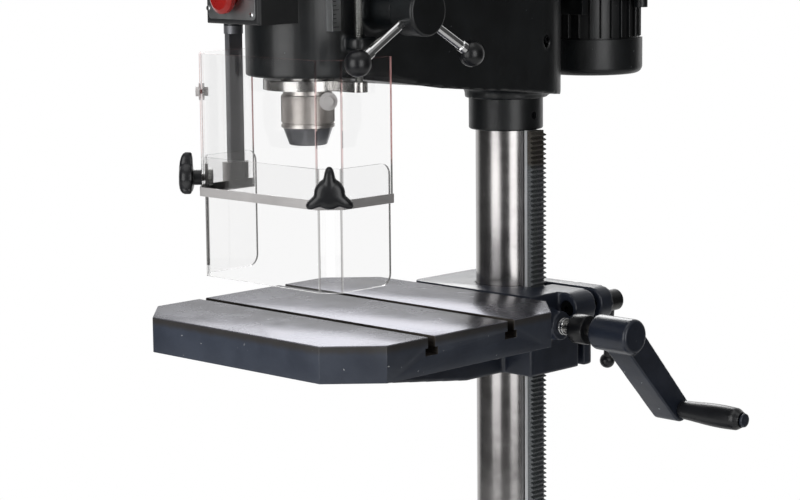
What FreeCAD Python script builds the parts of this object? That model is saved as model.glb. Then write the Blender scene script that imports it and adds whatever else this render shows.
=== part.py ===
"""Floor-standing pillar drill press with rack-lifted table and swing-away chuck guard.

Frame: origin on the column axis at the base's underside, +Z up, -Y towards the operator,
+X to the machine's right. Every length is in millimetres. Each function makes one sub-part and
main() writes each of them to parts/NODE.step.
"""
import FreeCAD
import Part
import math
import os

V = FreeCAD.Vector
X_AXIS, Y_AXIS, Z_AXIS = V(1, 0, 0), V(0, 1, 0), V(0, 0, 1)

# ---- overall layout ----
TABLE_TOP = 850.0          # table surface above the floor in the stored pose
THROAT = 361.0             # column axis to spindle axis
COLUMN_R = 40.0
COLUMN_WALL = 6.0
COLUMN_TOP = 1352.0

# ---- fits and gaps ----
RUN = 0.05                 # radial clearance of a shaft in its bore
SLIDE = 0.08               # radial clearance of a sliding sleeve
GAP = 0.5                  # free gap between bodies that pass each other
FACE = 0.3                 # end gap between a turning piece and its neighbour

# ---- base ----
BASE_W = 430.0
BASE_FRONT = -440.0
BASE_REAR = 120.0
BASE_H = 62.0
BASE_WALL = 16.0
BASE_TOP_T = 24.0
BASE_HOLE_R = 7.0
BASE_HOLE_INSET = 34.0
FOOT_R = 84.0
FOOT_FLANGE_H = 20.0
FOOT_SLEEVE_WALL = 14.0
FOOT_SLEEVE_R = COLUMN_R + FOOT_SLEEVE_WALL
FOOT_H = 118.0
FOOT_BOLT_PCD = 138.0
FOOT_BOLT_R = 6.0

# ---- rack around the column ----
MODULE = 2.0               # gear module of both racks and pinions
PINION_TEETH = 13
RACK_W = 26.0
RACK_BACK_W = 20.0         # narrower back strip that keeps the rack off the column
RACK_CLEAR = 0.8           # free gap between the column and the back strip
RACK_BACK_T = 7.2          # back strip, out to the toothed part
RACK_TOOTHED_T = 10.5      # toothed part, out to the tooth tips
RACK_BACK_X = COLUMN_R + RACK_CLEAR
RACK_STEP_X = RACK_BACK_X + RACK_BACK_T
RACK_FACE_X = RACK_STEP_X + RACK_TOOTHED_T
COLLAR_BOTTOM = 203.0      # above the table surface
COLLAR_H = 58.0
COLLAR_WALL = 8.8
COLLAR_R = COLUMN_R + COLLAR_WALL
COLLAR_LIP = 6.0           # depth of the ring groove that holds the rack's tongue
TONGUE_STEP = 1.4          # rack tongue from the column
TONGUE_T = 4.2
TONGUE_IN = COLUMN_R + TONGUE_STEP
TONGUE_OUT = TONGUE_IN + TONGUE_T

# ---- table ----
TABLE_W = 402.0
TABLE_D = 400.0
TABLE_Y = -290.0
TABLE_H = 44.0
TABLE_CHAMFER = 55.0
TABLE_PLATE = 32.0
TABLE_SKIRT = 16.0
SLOT_PITCH = 140.0
SLOT_W = 12.0
SLOT_T_W = 21.0
SLOT_T_H = 9.0
SLOT_DEPTH = 22.0
TABLE_BOLT_PCD = 64.0
TABLE_BOLT_R = 5.0

# ---- table bracket ----
HUB_HALF_W = 105.0
HUB_REAR = 58.0
HUB_FRONT = -72.0
HUB_DROP = 2.0             # hub top below the table surface
HUB_BOTTOM = 107.0         # hub bottom below the table surface
HUB_CORNER_R = 14.0
ARM_HALF_W = 57.0
ARM_WALL = 14.0
ARM_TIP_DEPTH = 90.0
ARM_KNEE_Y = -140.0        # the arm's underside starts to rise here
LUG_X = 134.0
LUG_FRONT = -16.0
LUG_H = 44.0
SPLIT_Y = 24.0
SPLIT_W = 11.0
CLAMP_X = 117.0
CLAMP_Z = 24.0             # clamp bolt below the table surface
CLAMP_R = 7.0
CLAMP_HEAD_R = 10.0
CLAMP_HEAD_H = 9.0
SKIRT_WALL = 5.0           # short rear half sleeve under the hub
SKIRT_R = COLUMN_R + SKIRT_WALL
SKIRT_H = 62.0

# ---- table lift: worm on the crank shaft, wheel and pinion on a cross shaft ----
CRANK_Y = -35.0
CRANK_DROP = 42.0          # crank axis below the table surface
CRANK_SHAFT_R = 8.0
WORM_R = 9.0
WHEEL_TEETH = 20
WHEEL_W = 13.0
WORM_MESH_GAP = 0.7
CROSS_SHAFT_R = 6.0
BOSS_X = 126.0
BOSS_R = 19.0
CRANK_COLLAR_X = 148.0
CRANK_COLLAR_L = 24.0
CRANK_COLLAR_R = 19.0
CRANK_HUB_X = 185.0
CRANK_HUB_L = 62.0
CRANK_HUB_R = 22.5
CRANK_ARM_L = 150.0
CRANK_ARM_ANGLE = 43.0     # from straight down, towards the rear
CRANK_TIP_R = 16.0
GRIP_L = 95.0
GRIP_R = 15.0

# ---- head casting ----
HEAD_FRONT_R = 74.0
HEAD_REAR_R = 72.0
HEAD_BELLY_REAR = 262.0    # underside at the column, above the table surface
HEAD_BELLY_FRONT = 296.0
HEAD_TOP = 515.0
HEAD_WALL = 9.0
HEAD_SLEEVE_WALL = 14.0

# ---- quill, spindle and chuck ----
QUILL_R = 32.5
QUILL_BORE_R = 22.0
QUILL_BOTTOM = 280.5
QUILL_TOP = 512.0
QUILL_TRAVEL = 120.0
QUILL_COLLAR_R = 53.5
QUILL_COLLAR_Z = 279.5
QUILL_COLLAR_H = 12.0
EAR_R = 10.0               # collar ear that holds the depth rod
SPINDLE_R = 12.0
SPINDLE_TOP = 603.0
CHUCK_NOSE_Z = 212.0
CHUCK_NOSE_H = 21.0
CHUCK_BAND_H = 5.0
CHUCK_SLEEVE_TOP = 272.5
CHUCK_TOP = 279.2
CHUCK_R = 32.3
CHUCK_NOSE_R = 23.1
CHUCK_CORE_R = 21.0
JAW_R = 4.0
JAW_TILT = 14.0
JAW_LENGTH = 38.0

# ---- feed ----
FEED_Z = 375.0
FEED_SHAFT_R = 9.0
FEED_BOSS_R = 24.0
FEED_BOSS_X = 124.0       # right end of the feed boss, clear of the guard
FEED_LEFT_X = 88.0
FEED_HUB_R = 30.0
FEED_HUB_L = 32.0
SPOKE_R = 6.0
SPOKE_L = 112.0
SPOKE_KNOB_R = 16.0
SPRING_CAP_R = 32.0
SPRING_CAP_L = 26.0
DEPTH_ROD_X = 88.0
DEPTH_ROD_R = 5.0
DEPTH_LUG_Z = 330.0
DEPTH_LUG_H = 14.0
LOCK_Z = 420.0
LOCK_ANGLE = 15.0          # quill lock, from straight left towards the front

# ---- belt drive ----
BEARING_FLANGE_R = 41.5
TRAY_Z = 515.5
TRAY_T = 3.0
COVER_H = 100.0
COVER_T = 2.5
COVER_FRONT_R = 104.0
COVER_REAR_R = 92.0
PULLEY_STEP_H = 15.0
PULLEY_Z = 527.0
SPINDLE_STEPS = (60.0, 51.0, 42.0, 33.0)
IDLER_STEPS = (34.0, 43.0, 52.0, 61.0)
MOTOR_STEPS = (52.0, 43.0, 34.0, 25.0)
GROOVE_DEPTH = 8.0
GROOVE_TOP_W = 11.0
GROOVE_BOTTOM_W = 7.0
FRONT_BELT_STEP = 1
REAR_BELT_STEP = 2
IDLER_Y = -120.0
MOTOR_Y = 175.0
MOTOR_R = 68.0
MOTOR_TOP = 498.0
MOTOR_L = 205.0
MOTOR_SHAFT_R = 9.5

# ---- chuck guard ----
GUARD_FRONT = 84.5         # outer face of the upper shield ahead of the spindle axis
GUARD_HALF_W = 121.7
GUARD_CHAMFER = 21.4
GUARD_DEPTH = 104.7
SHEET_T = 3.0
SHEET_GAP = 1.0
UPPER_BOTTOM = 151.0
UPPER_TOP = 322.0
LOWER_BOTTOM = 50.0
LOWER_TOP = 196.0
BAND_T = 2.2
BAND_H = 11.0
SHIELD_SLOT_W = 11.0
SHIELD_SLOT_LOW = 61.0
SHIELD_SLOT_HIGH = 187.0
SHIELD_CORNER_R = 14.0
KNOB_Z = 170.0
KNOB_LOBE_OFFSET = 20.0
KNOB_LOBE_R = 11.0
KNOB_T = 17.0
KNOB_NECK_R = 9.5
KNOB_NECK_H = 11.0
STUD_R = 4.0
GUIDE_Z = 275.0
GUIDE_R = 10.5
BAR_W = 22.0
BAR_T = 8.0
BAR_Y = -364.0
PIVOT_Z = 345.0

# ---- switch box ----
SWITCH_W = 92.0
SWITCH_D = 46.0
SWITCH_H = 104.0
SWITCH_Z = 362.0
BUTTON_R = 11.0
ESTOP_R = 19.0

# ---- worked out from the sizes above ----
SPINDLE_Y = -THROAT
PINION_R = MODULE * PINION_TEETH / 2
RACK_PITCH_X = RACK_FACE_X - MODULE
PINION_X = RACK_PITCH_X + PINION_R
WHEEL_R = MODULE * WHEEL_TEETH / 2
CRANK_Z = TABLE_TOP - CRANK_DROP
CROSS_Z = CRANK_Z - WORM_R - WHEEL_R - MODULE - WORM_MESH_GAP
QUILL_PITCH_Y = SPINDLE_Y + QUILL_R - MODULE - 1.0
FEED_Y = QUILL_PITCH_Y + PINION_R
FEED_AXIS_Z = TABLE_TOP + FEED_Z
BAR_X = -GUARD_HALF_W - 1.5 - BAR_T / 2
PITCH = math.pi * MODULE
BACKLASH = 0.22            # half-tooth thinning of every gear flank


# ======================= shape helpers =======================
def box(x0, x1, y0, y1, z0, z1):
    """Axis-aligned block between two corners."""
    return Part.makeBox(x1 - x0, y1 - y0, z1 - z0, V(x0, y0, z0))


def rod(radius, start, direction, length):
    """Solid cylinder from a start point."""
    return Part.makeCylinder(radius, length, V(*start), direction)


def ring(outer, inner, start, direction, length):
    """Round tube from a start point."""
    return rod(outer, start, direction, length).cut(rod(inner, start, direction, length))


def prism(points, vector):
    """Extrude a closed polygon of (x, y, z) points."""
    wire = Part.makePolygon([V(*p) for p in points] + [V(*points[0])])
    return Part.Face(wire).extrude(vector)


def turned(profile, centre, axis=Z_AXIS):
    """Revolve (radius, height) points about an upright axis, then lay it along the given axis."""
    wire = Part.makePolygon([V(r, 0, h) for r, h in profile] + [V(profile[0][0], 0, profile[0][1])])
    solid = Part.Face(wire).revolve(V(0, 0, 0), Z_AXIS, 360)
    solid.Placement = FreeCAD.Placement(V(*centre), FreeCAD.Rotation(Z_AXIS, axis))
    return solid


def upright_edges(shape, test=None):
    """Straight edges parallel to Z that pass the given test on their middle point."""
    found = []
    for edge in shape.Edges:
        ends = [v.Point for v in edge.Vertexes]
        if len(ends) != 2:
            continue
        along = ends[1].sub(ends[0])
        if along.Length < 1 or abs(abs(along.z) - along.Length) > 1e-6:
            continue
        middle = ends[0].add(ends[1]).multiply(0.5)
        if test is None or test(middle):
            found.append(edge)
    return found


def hull_plan(r0, y0, r1, y1, z0, z1, x=0.0):
    """Upright solid whose plan is the taut outline round two circles on one X."""
    span = y1 - y0
    tilt = math.asin((r0 - r1) / span)
    side = [(math.cos(tilt), math.sin(tilt))]
    nx, ny = side[0]
    start = V(x + r0 * nx, y0 + r0 * ny, z0)
    end = V(x + r1 * nx, y1 + r1 * ny, z0)
    mirror_end = V(x - r1 * nx, y1 + r1 * ny, z0)
    mirror_start = V(x - r0 * nx, y0 + r0 * ny, z0)
    edges = [Part.LineSegment(start, end).toShape(),
             Part.Arc(end, V(x, y1 + r1, z0), mirror_end).toShape(),
             Part.LineSegment(mirror_end, mirror_start).toShape(),
             Part.Arc(mirror_start, V(x, y0 - r0, z0), start).toShape()]
    return Part.Face(Part.Wire(edges)).extrude(V(0, 0, z1 - z0))


def hexagon(across, start, direction, height):
    """Hexagonal prism, such as a bolt head or nut."""
    radius = across / math.sqrt(3)
    points = [(radius * math.cos(math.radians(60 * i)), radius * math.sin(math.radians(60 * i)), 0)
              for i in range(6)]
    solid = prism(points, V(0, 0, height))
    solid.Placement = FreeCAD.Placement(V(*start), FreeCAD.Rotation(Z_AXIS, direction))
    return solid


def ring_places(pcd, count, centre, phase=45.0):
    """Points on a bolt circle about an upright axis."""
    return [(centre[0] + pcd / 2 * math.cos(math.radians(phase + 360 * i / count)),
             centre[1] + pcd / 2 * math.sin(math.radians(phase + 360 * i / count)))
            for i in range(count)]


def merge(shapes):
    """Fuse shapes into one clean solid."""
    result = shapes[0]
    for shape in shapes[1:]:
        result = result.fuse(shape)
    return result.removeSplitter()


# ======================= gear helpers =======================
def involute_tooth(pitch_r, base_r, tip_r, root_r, half_angle):
    """One tooth outline in polar (radius, angle) points, symmetric about angle zero."""
    def roll(radius):
        ratio = max(radius / base_r, 1.0)
        turn = math.sqrt(ratio * ratio - 1)
        return turn - math.atan(turn)
    radii = [max(root_r, base_r) + (tip_r - max(root_r, base_r)) * i / 5 for i in range(6)]
    flank = [(root_r, half_angle + roll(pitch_r))] if root_r < base_r else []
    flank += [(r, half_angle + roll(pitch_r) - roll(r)) for r in radii]
    return [(r, -a) for r, a in flank] + [(r, a) for r, a in reversed(flank)]


def gear(teeth, centre, axis_start, axis, width, phase):
    """Spur gear; phase is the angle of the first tooth from the local X direction."""
    pitch_r = MODULE * teeth / 2
    base_r = pitch_r * math.cos(math.radians(20))
    half_angle = math.pi / (2 * teeth) - BACKLASH / pitch_r
    tooth = involute_tooth(pitch_r, base_r, pitch_r + MODULE * 0.95, pitch_r - 1.2 * MODULE, half_angle)
    points = []
    for i in range(teeth):
        middle = phase + 2 * math.pi * i / teeth
        points += [(r * math.cos(middle + a), r * math.sin(middle + a), 0) for r, a in tooth]
    solid = prism(points, V(0, 0, width))
    frames = {"X": FreeCAD.Rotation(Y_AXIS, Z_AXIS, X_AXIS, "ZXY"),
              "Y": FreeCAD.Rotation(X_AXIS, V(0, 0, -1), Y_AXIS, "ZXY")}
    start = list(centre)
    start["XY".index(axis)] = axis_start
    solid.Placement = FreeCAD.Placement(V(*start), frames[axis])
    return solid


def rack_outline(low, high, tooth_at, face, back):
    """Rack outline in (across, up) points: trapezoid teeth towards `face`, centred on tooth_at."""
    sign = 1 if face > back else -1
    tip, root = face, face - sign * 2.25 * MODULE
    slope = math.tan(math.radians(20))
    half_tip = PITCH / 4 - slope * MODULE - BACKLASH
    half_root = PITCH / 4 + slope * 1.25 * MODULE - BACKLASH
    first = math.ceil((low + half_root - tooth_at) / PITCH)
    last = math.floor((high - half_root - tooth_at) / PITCH)
    points = [(back, low), (root, low)]
    for i in range(first, last + 1):
        middle = tooth_at + i * PITCH
        points += [(root, middle - half_root), (tip, middle - half_tip),
                   (tip, middle + half_tip), (root, middle + half_root)]
    return points + [(root, high), (back, high)]


# ======================= stand: base, foot, column, rack =======================
def base():
    """Cast base plate, hollow underneath, with two clamping slots in its machined pad."""
    body = box(-BASE_W / 2, BASE_W / 2, BASE_FRONT, BASE_REAR, 0, BASE_H - 6)
    body = body.makeFillet(30, upright_edges(body))
    pad = box(-BASE_W / 2 + 40, BASE_W / 2 - 40, BASE_FRONT + 20, -FOOT_R - 25, BASE_H - 7, BASE_H)
    body = body.fuse(pad).fuse(rod(FOOT_R + 12, (0, 0, 1), Z_AXIS, BASE_H - 1))
    under = box(-BASE_W / 2 + BASE_WALL, BASE_W / 2 - BASE_WALL, BASE_FRONT + BASE_WALL,
                BASE_REAR - BASE_WALL, -1, BASE_H - BASE_TOP_T)
    under = under.cut(box(-BASE_WALL / 2, BASE_WALL / 2, BASE_FRONT, BASE_REAR, -1, BASE_H))
    under = under.cut(rod(FOOT_R, (0, 0, -1), Z_AXIS, BASE_H))
    corner = BASE_HOLE_INSET + 16
    for sx in (-1, 1):
        for y in (BASE_FRONT, BASE_REAR):
            sy = 1 if y < 0 else -1
            post = box(min(sx * (BASE_W / 2 - corner), sx * BASE_W / 2), max(sx * (BASE_W / 2 - corner),
                       sx * BASE_W / 2), min(y, y + sy * corner), max(y, y + sy * corner), -1, BASE_H)
            under = under.cut(post)
    body = body.cut(under)
    for x, y in base_holes():
        body = body.cut(rod(BASE_HOLE_R, (x, y, -1), Z_AXIS, BASE_H + 2))
    for x in (-SLOT_PITCH / 2, SLOT_PITCH / 2):
        body = body.cut(box(x - SLOT_W / 2, x + SLOT_W / 2, BASE_FRONT - 1, -FOOT_R - 40,
                            BASE_H - SLOT_DEPTH + SLOT_T_H, BASE_H + 1))
        body = body.cut(box(x - SLOT_T_W / 2, x + SLOT_T_W / 2, BASE_FRONT - 1, -FOOT_R - 40,
                            BASE_H - SLOT_DEPTH, BASE_H - SLOT_DEPTH + SLOT_T_H))
        rib = box(x - SLOT_T_W / 2 - 9, x + SLOT_T_W / 2 + 9, BASE_FRONT + 2, -FOOT_R - 30,
                  BASE_H - SLOT_DEPTH - 10, BASE_H - SLOT_DEPTH)
        body = body.fuse(rib)
    for x, y in ring_places(FOOT_BOLT_PCD, 4, (0, 0)):
        body = body.cut(rod(FOOT_BOLT_R, (x, y, BASE_H - 30), Z_AXIS, 31))
    return body.removeSplitter()


def base_holes():
    """Centres of the four floor anchor holes."""
    x = BASE_W / 2 - BASE_HOLE_INSET
    return [(sx * x, y) for sx in (-1, 1) for y in (BASE_FRONT + BASE_HOLE_INSET, BASE_REAR - BASE_HOLE_INSET)]


def column_foot():
    """Flanged socket that holds the column on the base; its top groove guides the rack's foot."""
    body = rod(FOOT_R, (0, 0, BASE_H), Z_AXIS, FOOT_FLANGE_H)
    body = body.fuse(rod(FOOT_SLEEVE_R, (0, 0, BASE_H), Z_AXIS, FOOT_H))
    neck = [e for e in body.Edges if abs(e.BoundBox.ZMin - BASE_H - FOOT_FLANGE_H) < 0.01
            and abs(e.BoundBox.XMax - FOOT_SLEEVE_R) < 0.01]
    body = body.makeFillet(3, neck)
    body = body.cut(rod(COLUMN_R + 0.02, (0, 0, BASE_H - 1), Z_AXIS, FOOT_H + 2))
    body = body.cut(ring(TONGUE_OUT + GAP, TONGUE_IN - GAP, (0, 0, BASE_H + FOOT_H - COLLAR_LIP),
                         Z_AXIS, COLLAR_LIP + 1))
    for x, y in ring_places(FOOT_BOLT_PCD, 4, (0, 0)):
        body = body.cut(rod(FOOT_BOLT_R + 0.5, (x, y, BASE_H - 1), Z_AXIS, FOOT_FLANGE_H + 2))
    return body


def foot_bolts():
    """Four hexagon bolts through the foot's flange into the base."""
    bolts = []
    top = BASE_H + FOOT_FLANGE_H
    for x, y in ring_places(FOOT_BOLT_PCD, 4, (0, 0)):
        bolt = rod(FOOT_BOLT_R - 0.1, (x, y, BASE_H - 28), Z_AXIS, top - BASE_H + 29)
        bolt = bolt.fuse(rod(11.5, (x, y, top), Z_AXIS, 2.5)).fuse(hexagon(18, (x, y, top + 2.5), Z_AXIS, 8))
        bolts.append(bolt.removeSplitter())
    return Part.Compound(bolts)


def column():
    """Ground steel tube."""
    return ring(COLUMN_R, COLUMN_R - COLUMN_WALL, (0, 0, BASE_H), Z_AXIS, COLUMN_TOP - BASE_H)


def rack_ends():
    """Bottom and top of the rack's toothed bar."""
    return BASE_H + FOOT_H + GAP, TABLE_TOP + COLLAR_BOTTOM - GAP


def rack():
    """Toothed bar that turns round the column with the table; tongues at its ends ride in ring grooves."""
    low, high = rack_ends()
    outline = rack_outline(low, high, CROSS_Z, RACK_FACE_X, RACK_STEP_X)
    bar = prism([(x, -RACK_W / 2, z) for x, z in outline], V(0, RACK_W, 0))
    back = box(RACK_BACK_X, RACK_STEP_X + 1, -RACK_BACK_W / 2, RACK_BACK_W / 2, low, high)
    body = bar.fuse(back)
    reach = COLLAR_LIP - GAP
    tongue = ring(TONGUE_OUT, TONGUE_IN, (0, 0, low - reach), Z_AXIS, high - low + 2 * reach)
    tongue = tongue.common(box(0, COLUMN_R * 2, -RACK_BACK_W / 2 + 1, RACK_BACK_W / 2 - 1, 0, COLUMN_TOP))
    return body.fuse(tongue).removeSplitter()


def rack_collar():
    """Ring clamped on the column above the rack; its groove keeps the rack's top against the column."""
    z = TABLE_TOP + COLLAR_BOTTOM
    body = rod(COLLAR_R, (0, 0, z), Z_AXIS, COLLAR_H)
    lower = [e for e in body.Edges if abs(e.BoundBox.ZMax - z) < 0.01 and e.BoundBox.XMax > COLLAR_R - 1]
    body = body.makeFillet(2.2, lower)
    body = body.cut(rod(COLUMN_R + 0.02, (0, 0, z - 1), Z_AXIS, COLLAR_H + 2))
    body = body.cut(ring(TONGUE_OUT + GAP, TONGUE_IN - GAP, (0, 0, z - 1), Z_AXIS, COLLAR_LIP + 1))
    return body.cut(rod(5.0, (COLUMN_R - 1, 0, z + COLLAR_H * 0.33), X_AXIS, COLLAR_R))


def rack_collar_screw():
    """Socket set screw that fixes the collar."""
    z = TABLE_TOP + COLLAR_BOTTOM + COLLAR_H * 0.33
    body = rod(4.95, (COLUMN_R + 0.1, 0, z), X_AXIS, COLLAR_R - COLUMN_R - 2)
    return body.cut(hexagon(5, (COLLAR_R - 5, 0, z), X_AXIS, 8))


# ======================= table and its bracket =======================
def table_plan(inset, z0, z1):
    """Square plan with cut corners, pulled in by an inset."""
    hw, hd = TABLE_W / 2 - inset, TABLE_D / 2 - inset
    c = TABLE_CHAMFER - inset * (2 - math.sqrt(2))
    plan = [(hw, -hd + c), (hw, hd - c), (hw - c, hd), (-hw + c, hd),
            (-hw, hd - c), (-hw, -hd + c), (-hw + c, -hd), (hw - c, -hd)]
    return prism([(x, TABLE_Y + y, z0) for x, y in plan], V(0, 0, z1 - z0))


def table():
    """Drilling table with two T-slots and a hollow underside round a solid seat."""
    body = table_plan(0, TABLE_TOP - TABLE_H, TABLE_TOP)
    rims = [e for e in body.Edges if e.BoundBox.ZLength < 0.01 and e.BoundBox.ZMin > TABLE_TOP - 1]
    body = body.makeChamfer(1.0, rims)
    hollow = table_plan(TABLE_SKIRT, TABLE_TOP - TABLE_H - 1, TABLE_TOP - TABLE_PLATE)
    seat = box(-ARM_HALF_W - 8, ARM_HALF_W + 8, TABLE_Y - TABLE_D, TABLE_Y + TABLE_D,
               TABLE_TOP - TABLE_H - 1, TABLE_TOP)
    body = body.cut(hollow.cut(seat))
    for y in (TABLE_Y - SLOT_PITCH / 2, TABLE_Y + SLOT_PITCH / 2):
        body = body.cut(box(-TABLE_W, TABLE_W, y - SLOT_W / 2, y + SLOT_W / 2,
                            TABLE_TOP - SLOT_DEPTH + SLOT_T_H / 2, TABLE_TOP + 1))
        body = body.cut(box(-TABLE_W, TABLE_W, y - SLOT_T_W / 2, y + SLOT_T_W / 2,
                            TABLE_TOP - SLOT_DEPTH, TABLE_TOP - SLOT_DEPTH + SLOT_T_H))
    for x, y in ring_places(TABLE_BOLT_PCD, 4, (0, TABLE_Y)):
        body = body.cut(rod(TABLE_BOLT_R, (x, y, TABLE_TOP - TABLE_H - 1), Z_AXIS, 16))
    return body.removeSplitter()


def table_bolts():
    """Four bolts that hold the table down on the bracket's arm."""
    bolts = []
    z = TABLE_TOP - TABLE_H - ARM_WALL
    for x, y in ring_places(TABLE_BOLT_PCD, 4, (0, TABLE_Y)):
        bolt = rod(TABLE_BOLT_R - 0.1, (x, y, z - 1), Z_AXIS, ARM_WALL + 15)
        bolts.append(bolt.fuse(hexagon(16, (x, y, z - 7), Z_AXIS, 7)).removeSplitter())
    return Part.Compound(bolts)


def table_bracket():
    """Cast bracket: block hub on the column with a split clamp lug, gear case and table arm."""
    top, bottom = TABLE_TOP - HUB_DROP, TABLE_TOP - HUB_BOTTOM
    hub = box(-HUB_HALF_W, HUB_HALF_W, HUB_FRONT, HUB_REAR, bottom, top)
    hub = hub.makeFillet(HUB_CORNER_R, upright_edges(hub, lambda m: m.y > 0 or m.x < 0))
    lug = box(HUB_HALF_W - 30, LUG_X, LUG_FRONT, HUB_REAR + 2, top - LUG_H, top)
    lug_rim = [e for e in lug.Edges if abs(e.BoundBox.XMin - LUG_X) < 0.01 and e.BoundBox.ZLength < 0.01]
    lug = lug.makeFillet(LUG_H * 0.45, lug_rim)
    under = TABLE_TOP - TABLE_H
    tip = TABLE_Y - HUB_HALF_W
    side = [(HUB_FRONT + 8, under), (HUB_FRONT + 8, bottom), (ARM_KNEE_Y, bottom),
            (tip, TABLE_TOP - ARM_TIP_DEPTH), (tip, under)]
    arm = prism([(-HUB_HALF_W, y, z) for y, z in side], V(2 * HUB_HALF_W, 0, 0))
    plan = hull_plan(ARM_HALF_W, TABLE_Y, ARM_HALF_W, 0, bottom - 1, top)
    arm = arm.common(plan)
    inner = hull_plan(ARM_HALF_W - ARM_WALL, TABLE_Y, ARM_HALF_W - ARM_WALL,
                      HUB_FRONT - ARM_HALF_W, bottom - 1, under - ARM_WALL)
    arm = arm.cut(inner)
    boss = rod(BOSS_R, (HUB_HALF_W - 1, CRANK_Y, CRANK_Z), X_AXIS, BOSS_X - HUB_HALF_W + 1)
    skirt = rod(SKIRT_R, (0, 0, bottom - SKIRT_H), Z_AXIS, SKIRT_H + 1)
    flare = turned([(SKIRT_R - 1, bottom - 34), (SKIRT_R + 0.1, bottom - 34), (SKIRT_R + 3, bottom - 16),
                    (SKIRT_R + 12, bottom + 1), (SKIRT_R - 1, bottom + 1)], (0, 0, 0))
    rear_left = box(-200, 10, 0, 200, bottom - SKIRT_H - 1, bottom + 1)
    skirt = skirt.fuse(flare).common(rear_left)
    body = merge([hub, lug, arm, boss, skirt])
    reach = rod(COLUMN_R + SLIDE, (0, 0, bottom - SKIRT_H - 2), Z_AXIS, HUB_BOTTOM + SKIRT_H + 10)
    channel = box(0, RACK_FACE_X + GAP * 2, -RACK_W / 2 - GAP * 2, RACK_W / 2 + GAP * 2, bottom - 2, top + 2)
    gears = box(PINION_X - WHEEL_R - 4, PINION_X + WHEEL_R + 4, CRANK_Y - WORM_R - 2, RACK_W / 2 + 2,
                CROSS_Z - WHEEL_R - 4, CRANK_Z + WORM_R + 2)
    split = box(RACK_FACE_X - 2, LUG_X + 2, SPLIT_Y, SPLIT_Y + SPLIT_W, bottom - 2, top + 2)
    slot = box(0, RACK_FACE_X, RACK_W / 2, SPLIT_Y + SPLIT_W, bottom - 2, top + 2)
    body = body.cut(reach).cut(channel).cut(gears).cut(split).cut(slot)
    body = body.cut(rod(CRANK_SHAFT_R + RUN, (PINION_X, CRANK_Y, CRANK_Z), X_AXIS, LUG_X))
    body = body.cut(rod(CROSS_SHAFT_R + RUN, (PINION_X, HUB_FRONT + 8, CROSS_Z), Y_AXIS, -HUB_FRONT + SPLIT_Y - 8))
    clamp_z = TABLE_TOP - CLAMP_Z
    body = body.cut(rod(CLAMP_R + GAP, (CLAMP_X, LUG_FRONT + 1, clamp_z), Y_AXIS, 300))
    body = body.cut(rod(CLAMP_HEAD_R + GAP, (CLAMP_X, LUG_FRONT - 1, clamp_z), Y_AXIS, CLAMP_HEAD_H + 1))
    for x, y in ring_places(TABLE_BOLT_PCD, 4, (0, TABLE_Y)):
        body = body.cut(rod(TABLE_BOLT_R + 0.5, (x, y, under - ARM_WALL - 1), Z_AXIS, ARM_WALL + 2))
    return body.removeSplitter()


def clamp_bolt():
    """Socket bolt that draws the bracket's split lug together; its head sits in the lug's front."""
    z = TABLE_TOP - CLAMP_Z
    length = HUB_REAR + 2 - LUG_FRONT + 26
    body = rod(CLAMP_R, (CLAMP_X, LUG_FRONT + 1, z), Y_AXIS, length - 1)
    body = body.fuse(rod(CLAMP_HEAD_R, (CLAMP_X, LUG_FRONT + 1, z), Y_AXIS, CLAMP_HEAD_H - 1))
    return body.cut(hexagon(8, (CLAMP_X, LUG_FRONT, z), Y_AXIS, 6)).removeSplitter()


def clamp_lever():
    """Handled nut on the clamp bolt behind the bracket."""
    y, z = HUB_REAR + 2 + FACE, TABLE_TOP - CLAMP_Z
    hub = rod(14, (CLAMP_X, y, z), Y_AXIS, 24)
    arm = Part.makeCone(7, 5, 90, V(CLAMP_X, y + 13, z), V(-0.25, 0.25, -1))
    tip = V(CLAMP_X, y + 13, z).add(V(-0.25, 0.25, -1).normalize().multiply(92))
    body = hub.fuse(arm).fuse(Part.makeSphere(10, tip))
    return body.cut(rod(CLAMP_R + RUN, (CLAMP_X, y - 1, z), Y_AXIS, 26)).removeSplitter()


def lift_worm():
    """Worm and crank shaft in one; the worm's thread is a plain cylinder at its crest."""
    start = PINION_X - WHEEL_R + 1
    worm = rod(WORM_R, (start, CRANK_Y, CRANK_Z), X_AXIS, 2 * WHEEL_R - 2)
    shaft = rod(CRANK_SHAFT_R, (start, CRANK_Y, CRANK_Z), X_AXIS, CRANK_HUB_X + CRANK_HUB_L - 6 - start)
    return worm.fuse(shaft).removeSplitter()


def lift_wheel():
    """Worm wheel on the cross shaft."""
    body = gear(WHEEL_TEETH, (PINION_X, 0, CROSS_Z), CRANK_Y - WHEEL_W / 2, "Y", WHEEL_W, 0)
    return body.cut(rod(CROSS_SHAFT_R, (PINION_X, CRANK_Y - WHEEL_W, CROSS_Z), Y_AXIS, 2 * WHEEL_W))


def lift_pinion():
    """Pinion that climbs the rack."""
    phase = math.pi + math.pi / PINION_TEETH
    width = RACK_W - 4
    body = gear(PINION_TEETH, (PINION_X, 0, CROSS_Z), -width / 2, "Y", width, phase)
    return body.cut(rod(CROSS_SHAFT_R, (PINION_X, -RACK_W, CROSS_Z), Y_AXIS, 2 * RACK_W))


def cross_shaft():
    """Shaft that carries worm wheel and pinion in the bracket."""
    return rod(CROSS_SHAFT_R, (PINION_X, HUB_FRONT + 9, CROSS_Z), Y_AXIS, -HUB_FRONT + SPLIT_Y - 10)


def crank_washer():
    """Bright thrust washer between boss and crank collar."""
    return ring(11, CRANK_SHAFT_R + RUN, (BOSS_X + FACE, CRANK_Y, CRANK_Z), X_AXIS, 8)


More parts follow.
